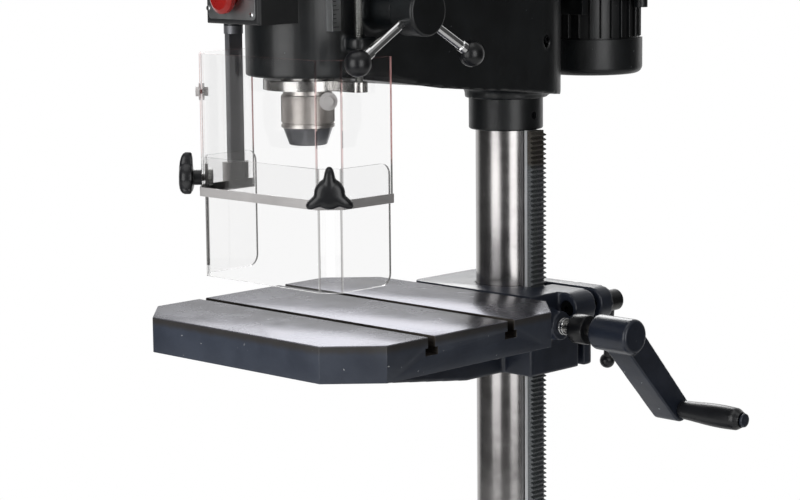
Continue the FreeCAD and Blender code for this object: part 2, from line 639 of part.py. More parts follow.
def crank_collar():
    """Round spacer collar on the crank shaft."""
    body = rod(CRANK_COLLAR_R, (CRANK_COLLAR_X, CRANK_Y, CRANK_Z), X_AXIS, CRANK_COLLAR_L)
    body = body.makeFillet(2.5, [e for e in body.Edges if len(e.Vertexes) == 1])
    return body.cut(rod(CRANK_SHAFT_R, (0, CRANK_Y, CRANK_Z), X_AXIS, 400))


def crank_direction():
    """Unit vector from the crank's hub to its grip."""
    angle = math.radians(CRANK_ARM_ANGLE)
    return V(0, math.sin(angle), -math.cos(angle))


def crank_arm():
    """Cast crank: round hub and a thick tapering arm with an eye for the grip's pin."""
    way = crank_direction()
    centre = V(CRANK_HUB_X, CRANK_Y, CRANK_Z)
    hub = rod(CRANK_HUB_R, tuple(centre), X_AXIS, CRANK_HUB_L)
    hub = hub.makeFillet(5, [e for e in hub.Edges if len(e.Vertexes) == 1])
    tip = centre.add(V(way).multiply(CRANK_ARM_L))
    across = V(0, way.z, -way.y)
    x0, width = CRANK_HUB_X + 18, CRANK_HUB_L - 24
    corners = [centre.add(V(across).multiply(CRANK_HUB_R - 4)), tip.add(V(across).multiply(CRANK_TIP_R)),
               tip.sub(V(across).multiply(CRANK_TIP_R)), centre.sub(V(across).multiply(CRANK_HUB_R - 4))]
    arm = prism([(x0, p.y, p.z) for p in corners], V(width, 0, 0))
    eye = rod(CRANK_TIP_R, (x0, tip.y, tip.z), X_AXIS, width)
    body = merge([hub, arm, eye])
    body = body.cut(rod(CRANK_SHAFT_R, (0, CRANK_Y, CRANK_Z), X_AXIS, CRANK_HUB_X + CRANK_HUB_L - 6))
    return body.cut(rod(6.0, (0, tip.y, tip.z), X_AXIS, 900))


def crank_tip():
    """Centre of the crank's eye on its outer face."""
    way = crank_direction()
    return (CRANK_HUB_X + CRANK_HUB_L - 6, CRANK_Y + way.y * CRANK_ARM_L, CRANK_Z + way.z * CRANK_ARM_L)


def grip_pin():
    """Pin that the grip turns on."""
    x, y, z = crank_tip()
    width = CRANK_HUB_L - 24
    body = rod(6.0, (x - width, y, z), X_AXIS, width + GRIP_L + 3)
    return body.fuse(rod(9.0, (x + GRIP_L + 2 * FACE + 1, y, z), X_AXIS, 4)).removeSplitter()


def grip():
    """Round crank handle, waisted towards the arm."""
    x, y, z = crank_tip()
    profile = [(6.0 + RUN, 0), (11, 0), (12, 6), (13, GRIP_L * 0.35), (GRIP_R, GRIP_L * 0.7),
               (GRIP_R - 1, GRIP_L * 0.92), (11, GRIP_L), (6.0 + RUN, GRIP_L)]
    return turned(profile, (x + FACE, y, z), X_AXIS)


# ======================= head =======================
def belly(y0, z0, y1, z1, top, half=200):
    """Block whose underside slopes from (y0, z0) to (y1, z1)."""
    return prism([(-half, y0, z0), (-half, y1, z1), (-half, y1, top), (-half, y0, top)], V(2 * half, 0, 0))


def head_outline(inset):
    """Head's outer shape, or its inside when pulled in."""
    low = TABLE_TOP + HEAD_BELLY_REAR + inset
    front = TABLE_TOP + HEAD_BELLY_FRONT + inset
    top = TABLE_TOP + HEAD_TOP - inset
    plan = hull_plan(HEAD_FRONT_R - inset, SPINDLE_Y, HEAD_REAR_R - inset, 0, low - 50, top)
    knee = SPINDLE_Y + HEAD_FRONT_R + 30
    slope = belly(HEAD_REAR_R + 1, low, knee, front, top).fuse(
        box(-200, 200, SPINDLE_Y - HEAD_FRONT_R - 1, knee, front, top))
    return plan.common(slope)


def head():
    """Hollow head casting with column sleeve, quill sleeve, feed bosses and depth-stop lug."""
    top, low = TABLE_TOP + HEAD_TOP, TABLE_TOP + HEAD_BELLY_REAR
    outer = head_outline(0)
    shell = outer.cut(head_outline(HEAD_WALL))
    column_sleeve = rod(COLUMN_R + HEAD_SLEEVE_WALL, (0, 0, low), Z_AXIS, top - low)
    quill_sleeve = rod(QUILL_R + HEAD_SLEEVE_WALL, (0, SPINDLE_Y, TABLE_TOP + HEAD_BELLY_FRONT), Z_AXIS,
                       HEAD_TOP - HEAD_BELLY_FRONT)
    feed = rod(FEED_BOSS_R, (-FEED_LEFT_X, FEED_Y, FEED_AXIS_Z), X_AXIS, FEED_LEFT_X + FEED_BOSS_X)
    feed = feed.cut(box(-HEAD_FRONT_R + 20, HEAD_FRONT_R - 20, -500, 0, 0, 2000))
    rod_lug = hull_plan(14, SPINDLE_Y, 14, SPINDLE_Y + 12, TABLE_TOP + DEPTH_LUG_Z,
                        TABLE_TOP + DEPTH_LUG_Z + DEPTH_LUG_H, DEPTH_ROD_X)
    lug_web = box(HEAD_FRONT_R - 8, DEPTH_ROD_X, SPINDLE_Y - 10, SPINDLE_Y + 22,
                  TABLE_TOP + DEPTH_LUG_Z, TABLE_TOP + DEPTH_LUG_Z + DEPTH_LUG_H)
    body = merge([shell, column_sleeve, quill_sleeve, feed, rod_lug, lug_web, rod_guide()])
    for z in motor_rod_heights():
        body = body.cut(rod(8 + RUN, (0, HEAD_REAR_R - 30, z), Y_AXIS, 60))
    body = body.cut(rod(COLUMN_R + 0.02, (0, 0, low - 1), Z_AXIS, COLUMN_TOP + 1 - low))
    body = body.cut(rod(QUILL_R + SLIDE, (0, SPINDLE_Y, low), Z_AXIS, HEAD_TOP))
    body = body.cut(rod(FEED_SHAFT_R + RUN, (-200, FEED_Y, FEED_AXIS_Z), X_AXIS, 400))
    body = body.cut(rod(DEPTH_ROD_R + GAP, (DEPTH_ROD_X, SPINDLE_Y, low), Z_AXIS, 100))
    window = box(-14, 14, SPINDLE_Y + 10, FEED_Y + PINION_R + 4,
                 FEED_AXIS_Z - PINION_R - 5, FEED_AXIS_Z + PINION_R + 5)
    body = body.cut(window)
    for z in lock_screw_heights():
        body = body.cut(rod(5.0, (COLUMN_R - 1, 0, z), X_AXIS, HEAD_REAR_R))
    return body.removeSplitter()


def lock_screw_heights():
    """Heights of the two screws that clamp the head on the column."""
    return TABLE_TOP + HEAD_BELLY_REAR + 60, TABLE_TOP + HEAD_TOP - 60


def head_lock_screws():
    """Two socket screws from the head's right side onto the column."""
    screws = []
    for z in lock_screw_heights():
        body = rod(4.95, (COLUMN_R + 0.1, 0, z), X_AXIS, HEAD_REAR_R - COLUMN_R)
        screws.append(body.cut(hexagon(5, (HEAD_REAR_R - 5, 0, z), X_AXIS, 8)))
    return Part.Compound(screws)


def quill():
    """Quill sleeve with rack teeth cut in its rear side."""
    z0, z1 = TABLE_TOP + QUILL_BOTTOM, TABLE_TOP + QUILL_TOP
    body = ring(QUILL_R, QUILL_BORE_R, (0, SPINDLE_Y, z0), Z_AXIS, z1 - z0)
    face = QUILL_PITCH_Y + MODULE
    low = FEED_AXIS_Z - PITCH * 3
    high = FEED_AXIS_Z + QUILL_TRAVEL + PITCH * 2
    teeth = rack_outline(low, high, FEED_AXIS_Z, face, face - 4 * MODULE)
    strip = prism([(-10.5, y, z) for y, z in teeth], V(21, 0, 0))
    pocket = box(-10.5, 10.5, face - 2.25 * MODULE - 0.01, SPINDLE_Y + QUILL_R + 1, low, high)
    return body.cut(pocket.cut(strip)).removeSplitter()


def quill_collar():
    """Clamp collar on the quill's lower end with an ear that carries the depth rod."""
    z = TABLE_TOP + QUILL_COLLAR_Z
    body = rod(QUILL_COLLAR_R, (0, SPINDLE_Y, z), Z_AXIS, QUILL_COLLAR_H)
    ear = rod(EAR_R, (DEPTH_ROD_X, SPINDLE_Y, z), Z_AXIS, QUILL_COLLAR_H)
    web = box(0, DEPTH_ROD_X, SPINDLE_Y - EAR_R, SPINDLE_Y + EAR_R, z, z + QUILL_COLLAR_H)
    body = merge([body, ear, web])
    body = body.cut(rod(QUILL_R, (0, SPINDLE_Y, TABLE_TOP + QUILL_BOTTOM), Z_AXIS, 100))
    body = body.cut(rod(SPINDLE_R + 3, (0, SPINDLE_Y, z - 1), Z_AXIS, 100))
    return body.cut(rod(DEPTH_ROD_R, (DEPTH_ROD_X, SPINDLE_Y, z - 1), Z_AXIS, 100))


def depth_rod():
    """Threaded depth-stop rod standing on the quill collar's ear."""
    z = TABLE_TOP + QUILL_COLLAR_Z
    return rod(DEPTH_ROD_R, (DEPTH_ROD_X, SPINDLE_Y, z), Z_AXIS, TABLE_TOP + HEAD_TOP - 12 - z)


def depth_nuts():
    """Knurled stop nut and lock nut on the depth rod."""
    z = TABLE_TOP + DEPTH_LUG_Z + DEPTH_LUG_H + QUILL_TRAVEL + GAP
    nuts = []
    for lift in (0, 9.5):
        nut = rod(10, (DEPTH_ROD_X, SPINDLE_Y, z + lift), Z_AXIS, 8.5)
        nuts.append(nut.cut(rod(DEPTH_ROD_R, (DEPTH_ROD_X, SPINDLE_Y, z), Z_AXIS, 60)))
    return Part.Compound(nuts)


def depth_scale(head_shape):
    """Scale strip on the head beside the depth rod."""
    plate = box(60, HEAD_FRONT_R + 3, SPINDLE_Y - 32, SPINDLE_Y - 18, TABLE_TOP + DEPTH_LUG_Z + 22,
                TABLE_TOP + HEAD_TOP - 20)
    solids = plate.cut(head_shape).Solids
    return max(solids, key=lambda s: s.BoundBox.XMax)


def spindle():
    """Spindle with a short taper nose in the chuck."""
    z0 = TABLE_TOP + CHUCK_TOP - 20
    nose = Part.makeCone(7.0, 7.9, 22, V(0, SPINDLE_Y, z0), Z_AXIS)
    shaft = rod(SPINDLE_R, (0, SPINDLE_Y, z0 + 22), Z_AXIS, TABLE_TOP + SPINDLE_TOP - z0 - 22)
    return nose.fuse(shaft).removeSplitter()


def quill_bearings():
    """Outer shells of the two ball bearings in the quill."""
    shells = []
    for z in (QUILL_BOTTOM + 3, QUILL_TOP - 20):
        shells.append(ring(QUILL_BORE_R, SPINDLE_R + RUN, (0, SPINDLE_Y, TABLE_TOP + z), Z_AXIS, 15))
    return Part.Compound(shells)


def chuck_body():
    """Rear ring and core of the keyless chuck, bored for three inclined jaws."""
    z = TABLE_TOP
    rear = rod(CHUCK_R - 2.5, (0, SPINDLE_Y, z + CHUCK_SLEEVE_TOP + FACE), Z_AXIS, CHUCK_TOP - CHUCK_SLEEVE_TOP - FACE)
    core = rod(CHUCK_CORE_R, (0, SPINDLE_Y, z + CHUCK_NOSE_Z + 8), Z_AXIS, CHUCK_TOP - CHUCK_NOSE_Z - 8)
    body = rear.fuse(core)
    body = body.cut(rod(9.5, (0, SPINDLE_Y, z + CHUCK_NOSE_Z), Z_AXIS, 40))
    body = body.cut(Part.makeCone(7.0, 7.9, 22, V(0, SPINDLE_Y, z + CHUCK_TOP - 20), Z_AXIS))
    for i in range(3):
        body = body.cut(jaw_bar(i, JAW_R + RUN, 80))
    return body.removeSplitter()


def jaw_direction(i):
    """Upward unit vector along jaw i, leaning outwards."""
    turn, tilt = math.radians(90 + 120 * i), math.radians(JAW_TILT)
    return V(math.sin(tilt) * math.cos(turn), math.sin(tilt) * math.sin(turn), math.cos(tilt))


def jaw_bar(i, radius, length):
    """Cylinder along jaw i from its lower end."""
    way = jaw_direction(i)
    turn = math.radians(90 + 120 * i)
    low = V(7.0 * math.cos(turn), SPINDLE_Y + 7.0 * math.sin(turn), TABLE_TOP + CHUCK_NOSE_Z + 2.5)
    start = low if length < 60 else low.sub(V(way).multiply(20))
    return Part.makeCylinder(radius, length, start, way)


def chuck_jaw(i):
    """One gripping jaw."""
    return jaw_bar(i, JAW_R, JAW_LENGTH)


def chuck_sleeve():
    """Outer sleeve of the chuck: tapered nose, plain band and gripping sleeve."""
    z0, band = CHUCK_NOSE_Z, CHUCK_NOSE_Z + CHUCK_NOSE_H
    inner = CHUCK_CORE_R + RUN
    profile = [(14, z0), (CHUCK_NOSE_R, z0), (CHUCK_R - 2.0, band), (CHUCK_R, band),
               (CHUCK_R, band + CHUCK_BAND_H - 0.8), (CHUCK_R - 1.2, band + CHUCK_BAND_H - 0.8),
               (CHUCK_R - 1.2, band + CHUCK_BAND_H + 0.6), (CHUCK_R, band + CHUCK_BAND_H + 0.6),
               (CHUCK_R, CHUCK_SLEEVE_TOP - 1), (CHUCK_R - 1, CHUCK_SLEEVE_TOP),
               (inner, CHUCK_SLEEVE_TOP), (inner, z0 + 7.5), (14, z0 + 7.5)]
    return turned([(r, TABLE_TOP + z) for r, z in profile], (0, SPINDLE_Y, 0))


def feed_shaft():
    """Feed shaft with its pinion in mesh with the quill's teeth."""
    phase = math.pi + math.pi / PINION_TEETH
    pinion = gear(PINION_TEETH, (0, FEED_Y, FEED_AXIS_Z), -9.0, "X", 18, phase)
    left = -FEED_LEFT_X - SPRING_CAP_L + 5
    shaft = rod(FEED_SHAFT_R, (left, FEED_Y, FEED_AXIS_Z), X_AXIS, FEED_BOSS_X + FEED_HUB_L - left)
    return pinion.fuse(shaft).removeSplitter()


def feed_hub():
    """Capstan hub on the feed shaft's right end."""
    x = FEED_BOSS_X + FACE
    hub = rod(FEED_HUB_R, (x, FEED_Y, FEED_AXIS_Z), X_AXIS, FEED_HUB_L + 6)
    hub = hub.makeFillet(4, [e for e in hub.Edges if len(e.Vertexes) == 1])
    hub = hub.cut(rod(FEED_SHAFT_R, (0, FEED_Y, FEED_AXIS_Z), X_AXIS, FEED_BOSS_X + FEED_HUB_L))
    for way in spoke_ways():
        start = V(x + FEED_HUB_L / 2, FEED_Y, FEED_AXIS_Z).add(V(way).multiply(FEED_SHAFT_R + 4))
        hub = hub.cut(Part.makeCylinder(SPOKE_R, FEED_HUB_R, start, way))
    return hub


def spoke_ways():
    """Directions of the three feed spokes; one stands straight up."""
    return [V(0, math.cos(math.radians(a)), math.sin(math.radians(a))) for a in (90, 210, 330)]


def feed_spokes():
    """Three bright spokes screwed into the hub."""
    middle = V(FEED_BOSS_X + FACE + FEED_HUB_L / 2, FEED_Y, FEED_AXIS_Z)
    bars = []
    for way in spoke_ways():
        start = middle.add(V(way).multiply(FEED_SHAFT_R + 4))
        bars.append(Part.makeCylinder(SPOKE_R, SPOKE_L - FEED_SHAFT_R - 4, start, way))
    return Part.Compound(bars)


def feed_knobs():
    """Ball knobs on the spokes' ends."""
    middle = V(FEED_BOSS_X + FACE + FEED_HUB_L / 2, FEED_Y, FEED_AXIS_Z)
    knobs = []
    for way in spoke_ways():
        ball = Part.makeSphere(SPOKE_KNOB_R, middle.add(V(way).multiply(SPOKE_L)))
        knobs.append(ball.cut(Part.makeCylinder(SPOKE_R, SPOKE_L, middle, way)))
    return Part.Compound(knobs)


def spring_cap():
    """Cup on the head's left side that houses the quill's return spring."""
    x = -FEED_LEFT_X
    body = rod(SPRING_CAP_R, (x, FEED_Y, FEED_AXIS_Z), V(-1, 0, 0), SPRING_CAP_L)
    body = body.makeFillet(3, [e for e in body.Edges if len(e.Vertexes) == 1 and e.BoundBox.XMax < x - 1])
    body = body.cut(rod(SPRING_CAP_R - 3, (x, FEED_Y, FEED_AXIS_Z), V(-1, 0, 0), SPRING_CAP_L - 4))
    back = ring(SPRING_CAP_R, FEED_SHAFT_R + GAP, (x, FEED_Y, FEED_AXIS_Z), V(-1, 0, 0), 3)
    return body.fuse(back).removeSplitter()


def return_spring():
    """Flat coil spring that lifts the quill, as one ring of its packed coils."""
    x = -FEED_LEFT_X - 4
    return ring(SPRING_CAP_R - 4, SPRING_CAP_R - 16, (x, FEED_Y, FEED_AXIS_Z), V(-1, 0, 0), 15)


def quill_lock_way():
    """Outward direction of the quill lock, on the head's left front."""
    angle = math.radians(LOCK_ANGLE)
    return V(-math.cos(angle), -math.sin(angle), 0)


def quill_lock_seat():
    """Round boss ring on the head that the quill lock screws into."""
    way = quill_lock_way()
    centre = V(0, SPINDLE_Y, TABLE_TOP + LOCK_Z)
    seat = Part.makeCylinder(13, 12, centre.add(V(way).multiply(HEAD_FRONT_R - 4)), way)
    return seat.cut(rod(HEAD_FRONT_R, (0, SPINDLE_Y, TABLE_TOP + LOCK_Z - 30), Z_AXIS, 60))


def quill_lock():
    """Small lever screw that locks the quill."""
    way = quill_lock_way()
    start = V(0, SPINDLE_Y, TABLE_TOP + LOCK_Z).add(V(way).multiply(HEAD_FRONT_R + 8 + FACE))
    hub = Part.makeCylinder(9, 16, start, way)
    mid = start.add(V(way).multiply(9))
    arm = Part.makeCylinder(4, 46, mid, V(0, 0, 1))
    return merge([hub, arm, Part.makeSphere(7, mid.add(V(0, 0, 48)))])


# ======================= belt drive =======================
def belt_tray():
    """Sheet tray under the pulleys, bolted on the head, open for spindle and motor shafts."""
    z = TABLE_TOP + TRAY_Z
    body = hull_plan(COVER_FRONT_R - 4, SPINDLE_Y, COVER_REAR_R - 4, MOTOR_Y, z, z + TRAY_T)
    body = body.cut(rod(BEARING_FLANGE_R + GAP, (0, SPINDLE_Y, z - 1), Z_AXIS, 10))
    return body.cut(hull_plan(24, MOTOR_Y - 24, 24, MOTOR_Y + 2, z - 1, z + 10))


def belt_cover():
    """Deep sheet lid over the belts, hinged along its left side."""
    z = TABLE_TOP + TRAY_Z + TRAY_T + FACE
    body = hull_plan(COVER_FRONT_R, SPINDLE_Y, COVER_REAR_R, MOTOR_Y, z, z + COVER_H)
    top = [e for e in body.Edges if e.BoundBox.ZMin > z + COVER_H - 0.01]
    body = body.makeFillet(10, top)
    inner = hull_plan(COVER_FRONT_R - COVER_T, SPINDLE_Y, COVER_REAR_R - COVER_T, MOTOR_Y, z - 1,
                      z + COVER_H - COVER_T)
    inner = inner.makeFillet(8, [e for e in inner.Edges if e.BoundBox.ZMin > z + COVER_H - COVER_T - 0.01])
    return body.cut(inner)


def cover_hinge_x():
    """X of the cover's hinge line, just outside the tray's left edge."""
    return -COVER_FRONT_R - 5


def cover_hinges():
    """Two fixed hinge knuckles and their pins under the cover's left edge."""
    z = TABLE_TOP + TRAY_Z
    leaves = []
    for y in (SPINDLE_Y + 40, SPINDLE_Y + 250):
        pin = rod(3, (cover_hinge_x(), y - 20, z), Y_AXIS, 40)
        leaf = box(cover_hinge_x(), -HEAD_FRONT_R - 4, y - 19, y + 19, z - 3 - GAP, z - GAP)
        knuckle = rod(5, (cover_hinge_x(), y - 19, z), Y_AXIS, 12)
        leaf = leaf.cut(box(cover_hinge_x() - 9, cover_hinge_x() + 9, y - 6, y + 30, z - 9, z + 9))
        leaves.append(merge([pin, knuckle, leaf]))
    return Part.Compound(leaves)


def cover_leaves():
    """Moving hinge leaves on the cover's left wall."""
    z = TABLE_TOP + TRAY_Z
    leaves = []
    for y in (SPINDLE_Y + 40, SPINDLE_Y + 250):
        knuckle = rod(5, (cover_hinge_x(), y - 6, z), Y_AXIS, 25)
        strap = box(cover_hinge_x() - 5, cover_hinge_x() - 2, y - 6, y + 19, z, z + 34)
        pad = box(cover_hinge_x() - 5, -COVER_REAR_R + 4, y - 6, y + 19, z + 12, z + 34)
        inner = hull_plan(COVER_FRONT_R, SPINDLE_Y, COVER_REAR_R, MOTOR_Y, z - 50, z + 300)
        leaf = merge([knuckle, strap, pad]).cut(inner)
        leaves.append(leaf.cut(rod(3 + RUN, (cover_hinge_x(), y - 30, z), Y_AXIS, 70)))
    return Part.Compound(leaves)


def cover_knob():
    """Lift knob on the cover's right side."""
    x = COVER_FRONT_R - 0.5
    z = TABLE_TOP + TRAY_Z + 40
    stem = rod(6, (x - 6, SPINDLE_Y, z), X_AXIS, 20)
    knob = turned([(0, 12), (10, 12), (15, 18), (15, 26), (10, 32), (0, 32)], (x, SPINDLE_Y, z), X_AXIS)
    inner = rod(COVER_FRONT_R, (0, SPINDLE_Y, z - 30), Z_AXIS, 60)
    return stem.fuse(knob).cut(inner).removeSplitter()


def stepped_pulley(steps, y, bore):
    """Cone pulley with one V groove on each step."""
    z = TABLE_TOP + PULLEY_Z
    profile = [(bore, 0)]
    for i, radius in enumerate(steps):
        low = i * PULLEY_STEP_H
        mid = low + PULLEY_STEP_H / 2
        profile += [(radius, low), (radius, mid - GROOVE_TOP_W / 2),
                    (radius - GROOVE_DEPTH, mid - GROOVE_BOTTOM_W / 2),
                    (radius - GROOVE_DEPTH, mid + GROOVE_BOTTOM_W / 2),
                    (radius, mid + GROOVE_TOP_W / 2), (radius, low + PULLEY_STEP_H)]
    profile += [(bore, len(steps) * PULLEY_STEP_H)]
    return turned([(r, z + h) for r, h in profile], (0, y, 0))


def drive_pulley():
    """Spindle pulley; the spindle slides through its splined bore."""
    return stepped_pulley(SPINDLE_STEPS, SPINDLE_Y, SPINDLE_R + RUN)


def pulley_bearing():
    """Flanged bearing sleeve under the spindle pulley, on the head's top."""
    z = TABLE_TOP + HEAD_TOP
    flange = rod(BEARING_FLANGE_R, (0, SPINDLE_Y, z), Z_AXIS, 4)
    neck = rod(22, (0, SPINDLE_Y, z), Z_AXIS, PULLEY_Z - HEAD_TOP - FACE)
    return flange.fuse(neck).cut(rod(SPINDLE_R + 2, (0, SPINDLE_Y, z - 1), Z_AXIS, 60)).removeSplitter()


def idler_pulley():
    """Middle cone pulley."""
    return stepped_pulley(IDLER_STEPS, IDLER_Y, 8 + RUN)


def idler_post():
    """Post and swing arm that carry the middle pulley on the tray."""
    z = TABLE_TOP + TRAY_Z + TRAY_T
    foot = rod(20, (0, IDLER_Y, z), Z_AXIS, PULLEY_Z - TRAY_Z - TRAY_T - FACE)
    pin = rod(8, (0, IDLER_Y, z), Z_AXIS, TABLE_TOP + PULLEY_Z + 4 * PULLEY_STEP_H + 4 - z)
    return foot.fuse(pin).removeSplitter()


def motor_pulley():
    """Cone pulley pressed on the motor shaft."""
    return stepped_pulley(MOTOR_STEPS, MOTOR_Y, MOTOR_SHAFT_R)


def belt_loop(r0, y0, r1, y1, step):
    """V-belt round two pulleys, as a closed trapezoid loop a little clear of the groove floor."""
    z = TABLE_TOP + PULLEY_Z + step * PULLEY_STEP_H + PULLEY_STEP_H / 2
    sink, height, clear = GROOVE_DEPTH - 2.0, 8.0, 0.25
    outer = hull_plan(r0 - sink + height, y0, r1 - sink + height, y1, z - 4.2, z + 4.2)
    inner = hull_plan(r0 - sink, y0, r1 - sink, y1, z - 5, z + 5)
    body = outer.cut(inner)
    lower = [e for e in body.Edges if e.BoundBox.ZLength < 0.01]
    rims = [e for e in lower if is_inner_rim(e, r0 - sink, y0, r1 - sink, y1)]
    return body.makeChamfer(1.15 + clear, rims)


def is_inner_rim(edge, r0, y0, r1, y1):
    """True for a flat edge that lies on the loop's inner outline."""
    middle = edge.valueAt((edge.FirstParameter + edge.LastParameter) / 2)
    if middle.y < y0:
        return abs(math.hypot(middle.x, middle.y - y0) - r0) < 1
    if middle.y > y1:
        return abs(math.hypot(middle.x, middle.y - y1) - r1) < 1
    share = (middle.y - y0) / (y1 - y0)
    return abs(abs(middle.x) - (r0 + (r1 - r0) * share)) < 3


def front_belt():
    """Belt from the middle pulley to the spindle pulley."""
    step = FRONT_BELT_STEP
    return belt_loop(SPINDLE_STEPS[step], SPINDLE_Y, IDLER_STEPS[step], IDLER_Y, step)


def rear_belt():
    """Belt from the motor to the middle pulley."""
    step = REAR_BELT_STEP
    return belt_loop(IDLER_STEPS[step], IDLER_Y, MOTOR_STEPS[step], MOTOR_Y, step)


# ======================= motor =======================
def motor():
    """Motor frame with cooling ribs and its shaft end plates."""
    z1 = TABLE_TOP + MOTOR_TOP
    z0 = z1 - MOTOR_L
    body = rod(MOTOR_R - 5, (0, MOTOR_Y, z0), Z_AXIS, MOTOR_L)
    count = 28
    for i in range(count):
        rib = box(MOTOR_R - 8, MOTOR_R, -1.2, 1.2, z0 + 22, z1 - 18)
        rib.rotate(V(0, 0, 0), Z_AXIS, 360 * i / count)
        rib.translate(V(0, MOTOR_Y, 0))
        body = body.fuse(rib)
    body = body.fuse(rod(MOTOR_R, (0, MOTOR_Y, z1 - 18), Z_AXIS, 14))
    return body.cut(rod(MOTOR_SHAFT_R + RUN, (0, MOTOR_Y, z1 - 60), Z_AXIS, 70)).removeSplitter()


def motor_shaft():
    """Motor shaft up to the pulley."""
    z = TABLE_TOP + MOTOR_TOP - 58
    return rod(MOTOR_SHAFT_R, (0, MOTOR_Y, z), Z_AXIS, TABLE_TOP + PULLEY_Z + 4 * PULLEY_STEP_H - z)


def fan_cover():
    """Cowl over the motor's fan, with vent slots."""
    z1 = TABLE_TOP + MOTOR_TOP - MOTOR_L + 20
    body = ring(MOTOR_R + 2, MOTOR_R - 4.9, (0, MOTOR_Y, z1 - 20), Z_AXIS, 20)
    bowl = rod(MOTOR_R + 2, (0, MOTOR_Y, z1 - 48), Z_AXIS, 28)
    bowl = bowl.makeFillet(10, [e for e in bowl.Edges if e.BoundBox.ZMax < z1 - 47.9])
    bowl = bowl.cut(rod(MOTOR_R - 1, (0, MOTOR_Y, z1 - 45), Z_AXIS, 26))
    bowl = bowl.cut(rod(MOTOR_R - 5, (0, MOTOR_Y, z1 - 20), Z_AXIS, 2))
    body = body.fuse(bowl)
    for i in range(12):
        slot = box(22, MOTOR_R - 16, -2.5, 2.5, z1 - 50, z1 - 40)
        slot.rotate(V(0, 0, 0), Z_AXIS, 30 * i)
        slot.translate(V(0, MOTOR_Y, 0))
        body = body.cut(slot)
    return body.cut(rod(MOTOR_R - 1, (0, MOTOR_Y, z1 - 45), Z_AXIS, 24)).removeSplitter()


def terminal_box():
    """Cable box on the motor's right side with a blind gland."""
    z = TABLE_TOP + MOTOR_TOP - 130
    body = box(MOTOR_R - 4, MOTOR_R + 34, MOTOR_Y - 30, MOTOR_Y + 30, z, z + 64)
    body = body.makeFillet(4, [e for e in body.Edges if e.BoundBox.XMin > MOTOR_R])
    body = body.fuse(rod(9, (MOTOR_R + 18, MOTOR_Y, z - 12), Z_AXIS, 14))
    return body.cut(motor()).removeSplitter()


def motor_plate():
    """Plate between the motor and its two slide rods."""
    z1 = TABLE_TOP + MOTOR_TOP
    y = MOTOR_Y - MOTOR_R - 3
    plate = box(-52, 52, y - 10, y + 2, z1 - 150, z1 - 14)
    saddle = box(-34, 34, y, MOTOR_Y - 30, z1 - 140, z1 - 24)
    saddle = saddle.cut(rod(MOTOR_R + 0.2, (0, MOTOR_Y, z1 - 200), Z_AXIS, 300))
    body = plate.fuse(saddle)
    for z in motor_rod_heights():
        body = body.cut(rod(8, (0, 0, z), Y_AXIS, MOTOR_Y))
    return body.removeSplitter()


def motor_rod_heights():
    """Heights of the two motor slide rods."""
    return TABLE_TOP + MOTOR_TOP - 128, TABLE_TOP + MOTOR_TOP - 36


def motor_rods():
    """Two slide rods from the head's rear boss to the motor plate."""
    y = MOTOR_Y - MOTOR_R - 3
    return Part.Compound([rod(8, (0, HEAD_REAR_R - 8, z), Y_AXIS, y - HEAD_REAR_R + 8) for z in motor_rod_heights()])


def rod_guide():
    """Rear boss on the head that the motor's slide rods run in."""
    top, low = motor_rod_heights()[1] + 16, motor_rod_heights()[0] - 16
    body = box(-20, 20, HEAD_REAR_R - 10, HEAD_REAR_R + 8, low, top)
    return body


# ======================= chuck guard =======================
def guard_plan(offset):
    """Open U outline of the guard, in plan, at an offset outside the upper shield's outer face."""
    hw, front = GUARD_HALF_W + offset, SPINDLE_Y - GUARD_FRONT - offset
    rear = SPINDLE_Y - GUARD_FRONT + GUARD_DEPTH
    c = GUARD_CHAMFER + offset * (2 - math.sqrt(2))
    return [(-hw, rear), (-hw, front + c), (-hw + c, front), (hw - c, front), (hw, front + c), (hw, rear)]


def guard_sheet(outer, inner, z0, z1):
    """Bent sheet between two offsets of the guard's outline."""
    points = guard_plan(outer) + list(reversed(guard_plan(inner)))
    return prism([(x, y, z0) for x, y in points], V(0, 0, z1 - z0))


def chamfer_frame(side):
    """Centre of the guard's cut corner on the upper shield's outer face, and its outward normal."""
    outline = guard_plan(0)
    a, b = (outline[3], outline[4]) if side > 0 else (outline[1], outline[2])
    way = V(side, -1, 0).normalize()
    return V((a[0] + b[0]) / 2, (a[1] + b[1]) / 2, TABLE_TOP), way


def through_chamfer(side, height, radius, start, length):
    """Cylinder along a cut corner's normal, from a depth relative to the upper shield's outer face."""
    centre, way = chamfer_frame(side)
    return Part.makeCylinder(radius, length, centre.add(V(0, 0, height)).add(V(way).multiply(start)), way)


def upper_shield():
    """Upper clear shield, bent to a U with cut corners."""
    body = guard_sheet(0, -SHEET_T, TABLE_TOP + UPPER_BOTTOM, TABLE_TOP + UPPER_TOP)
    for side in (-1, 1):
        body = body.cut(through_chamfer(side, KNOB_Z, STUD_R + GAP, -10, 20))
        body = body.cut(through_chamfer(side, GUIDE_Z, 3.2, -10, 20))
    return body


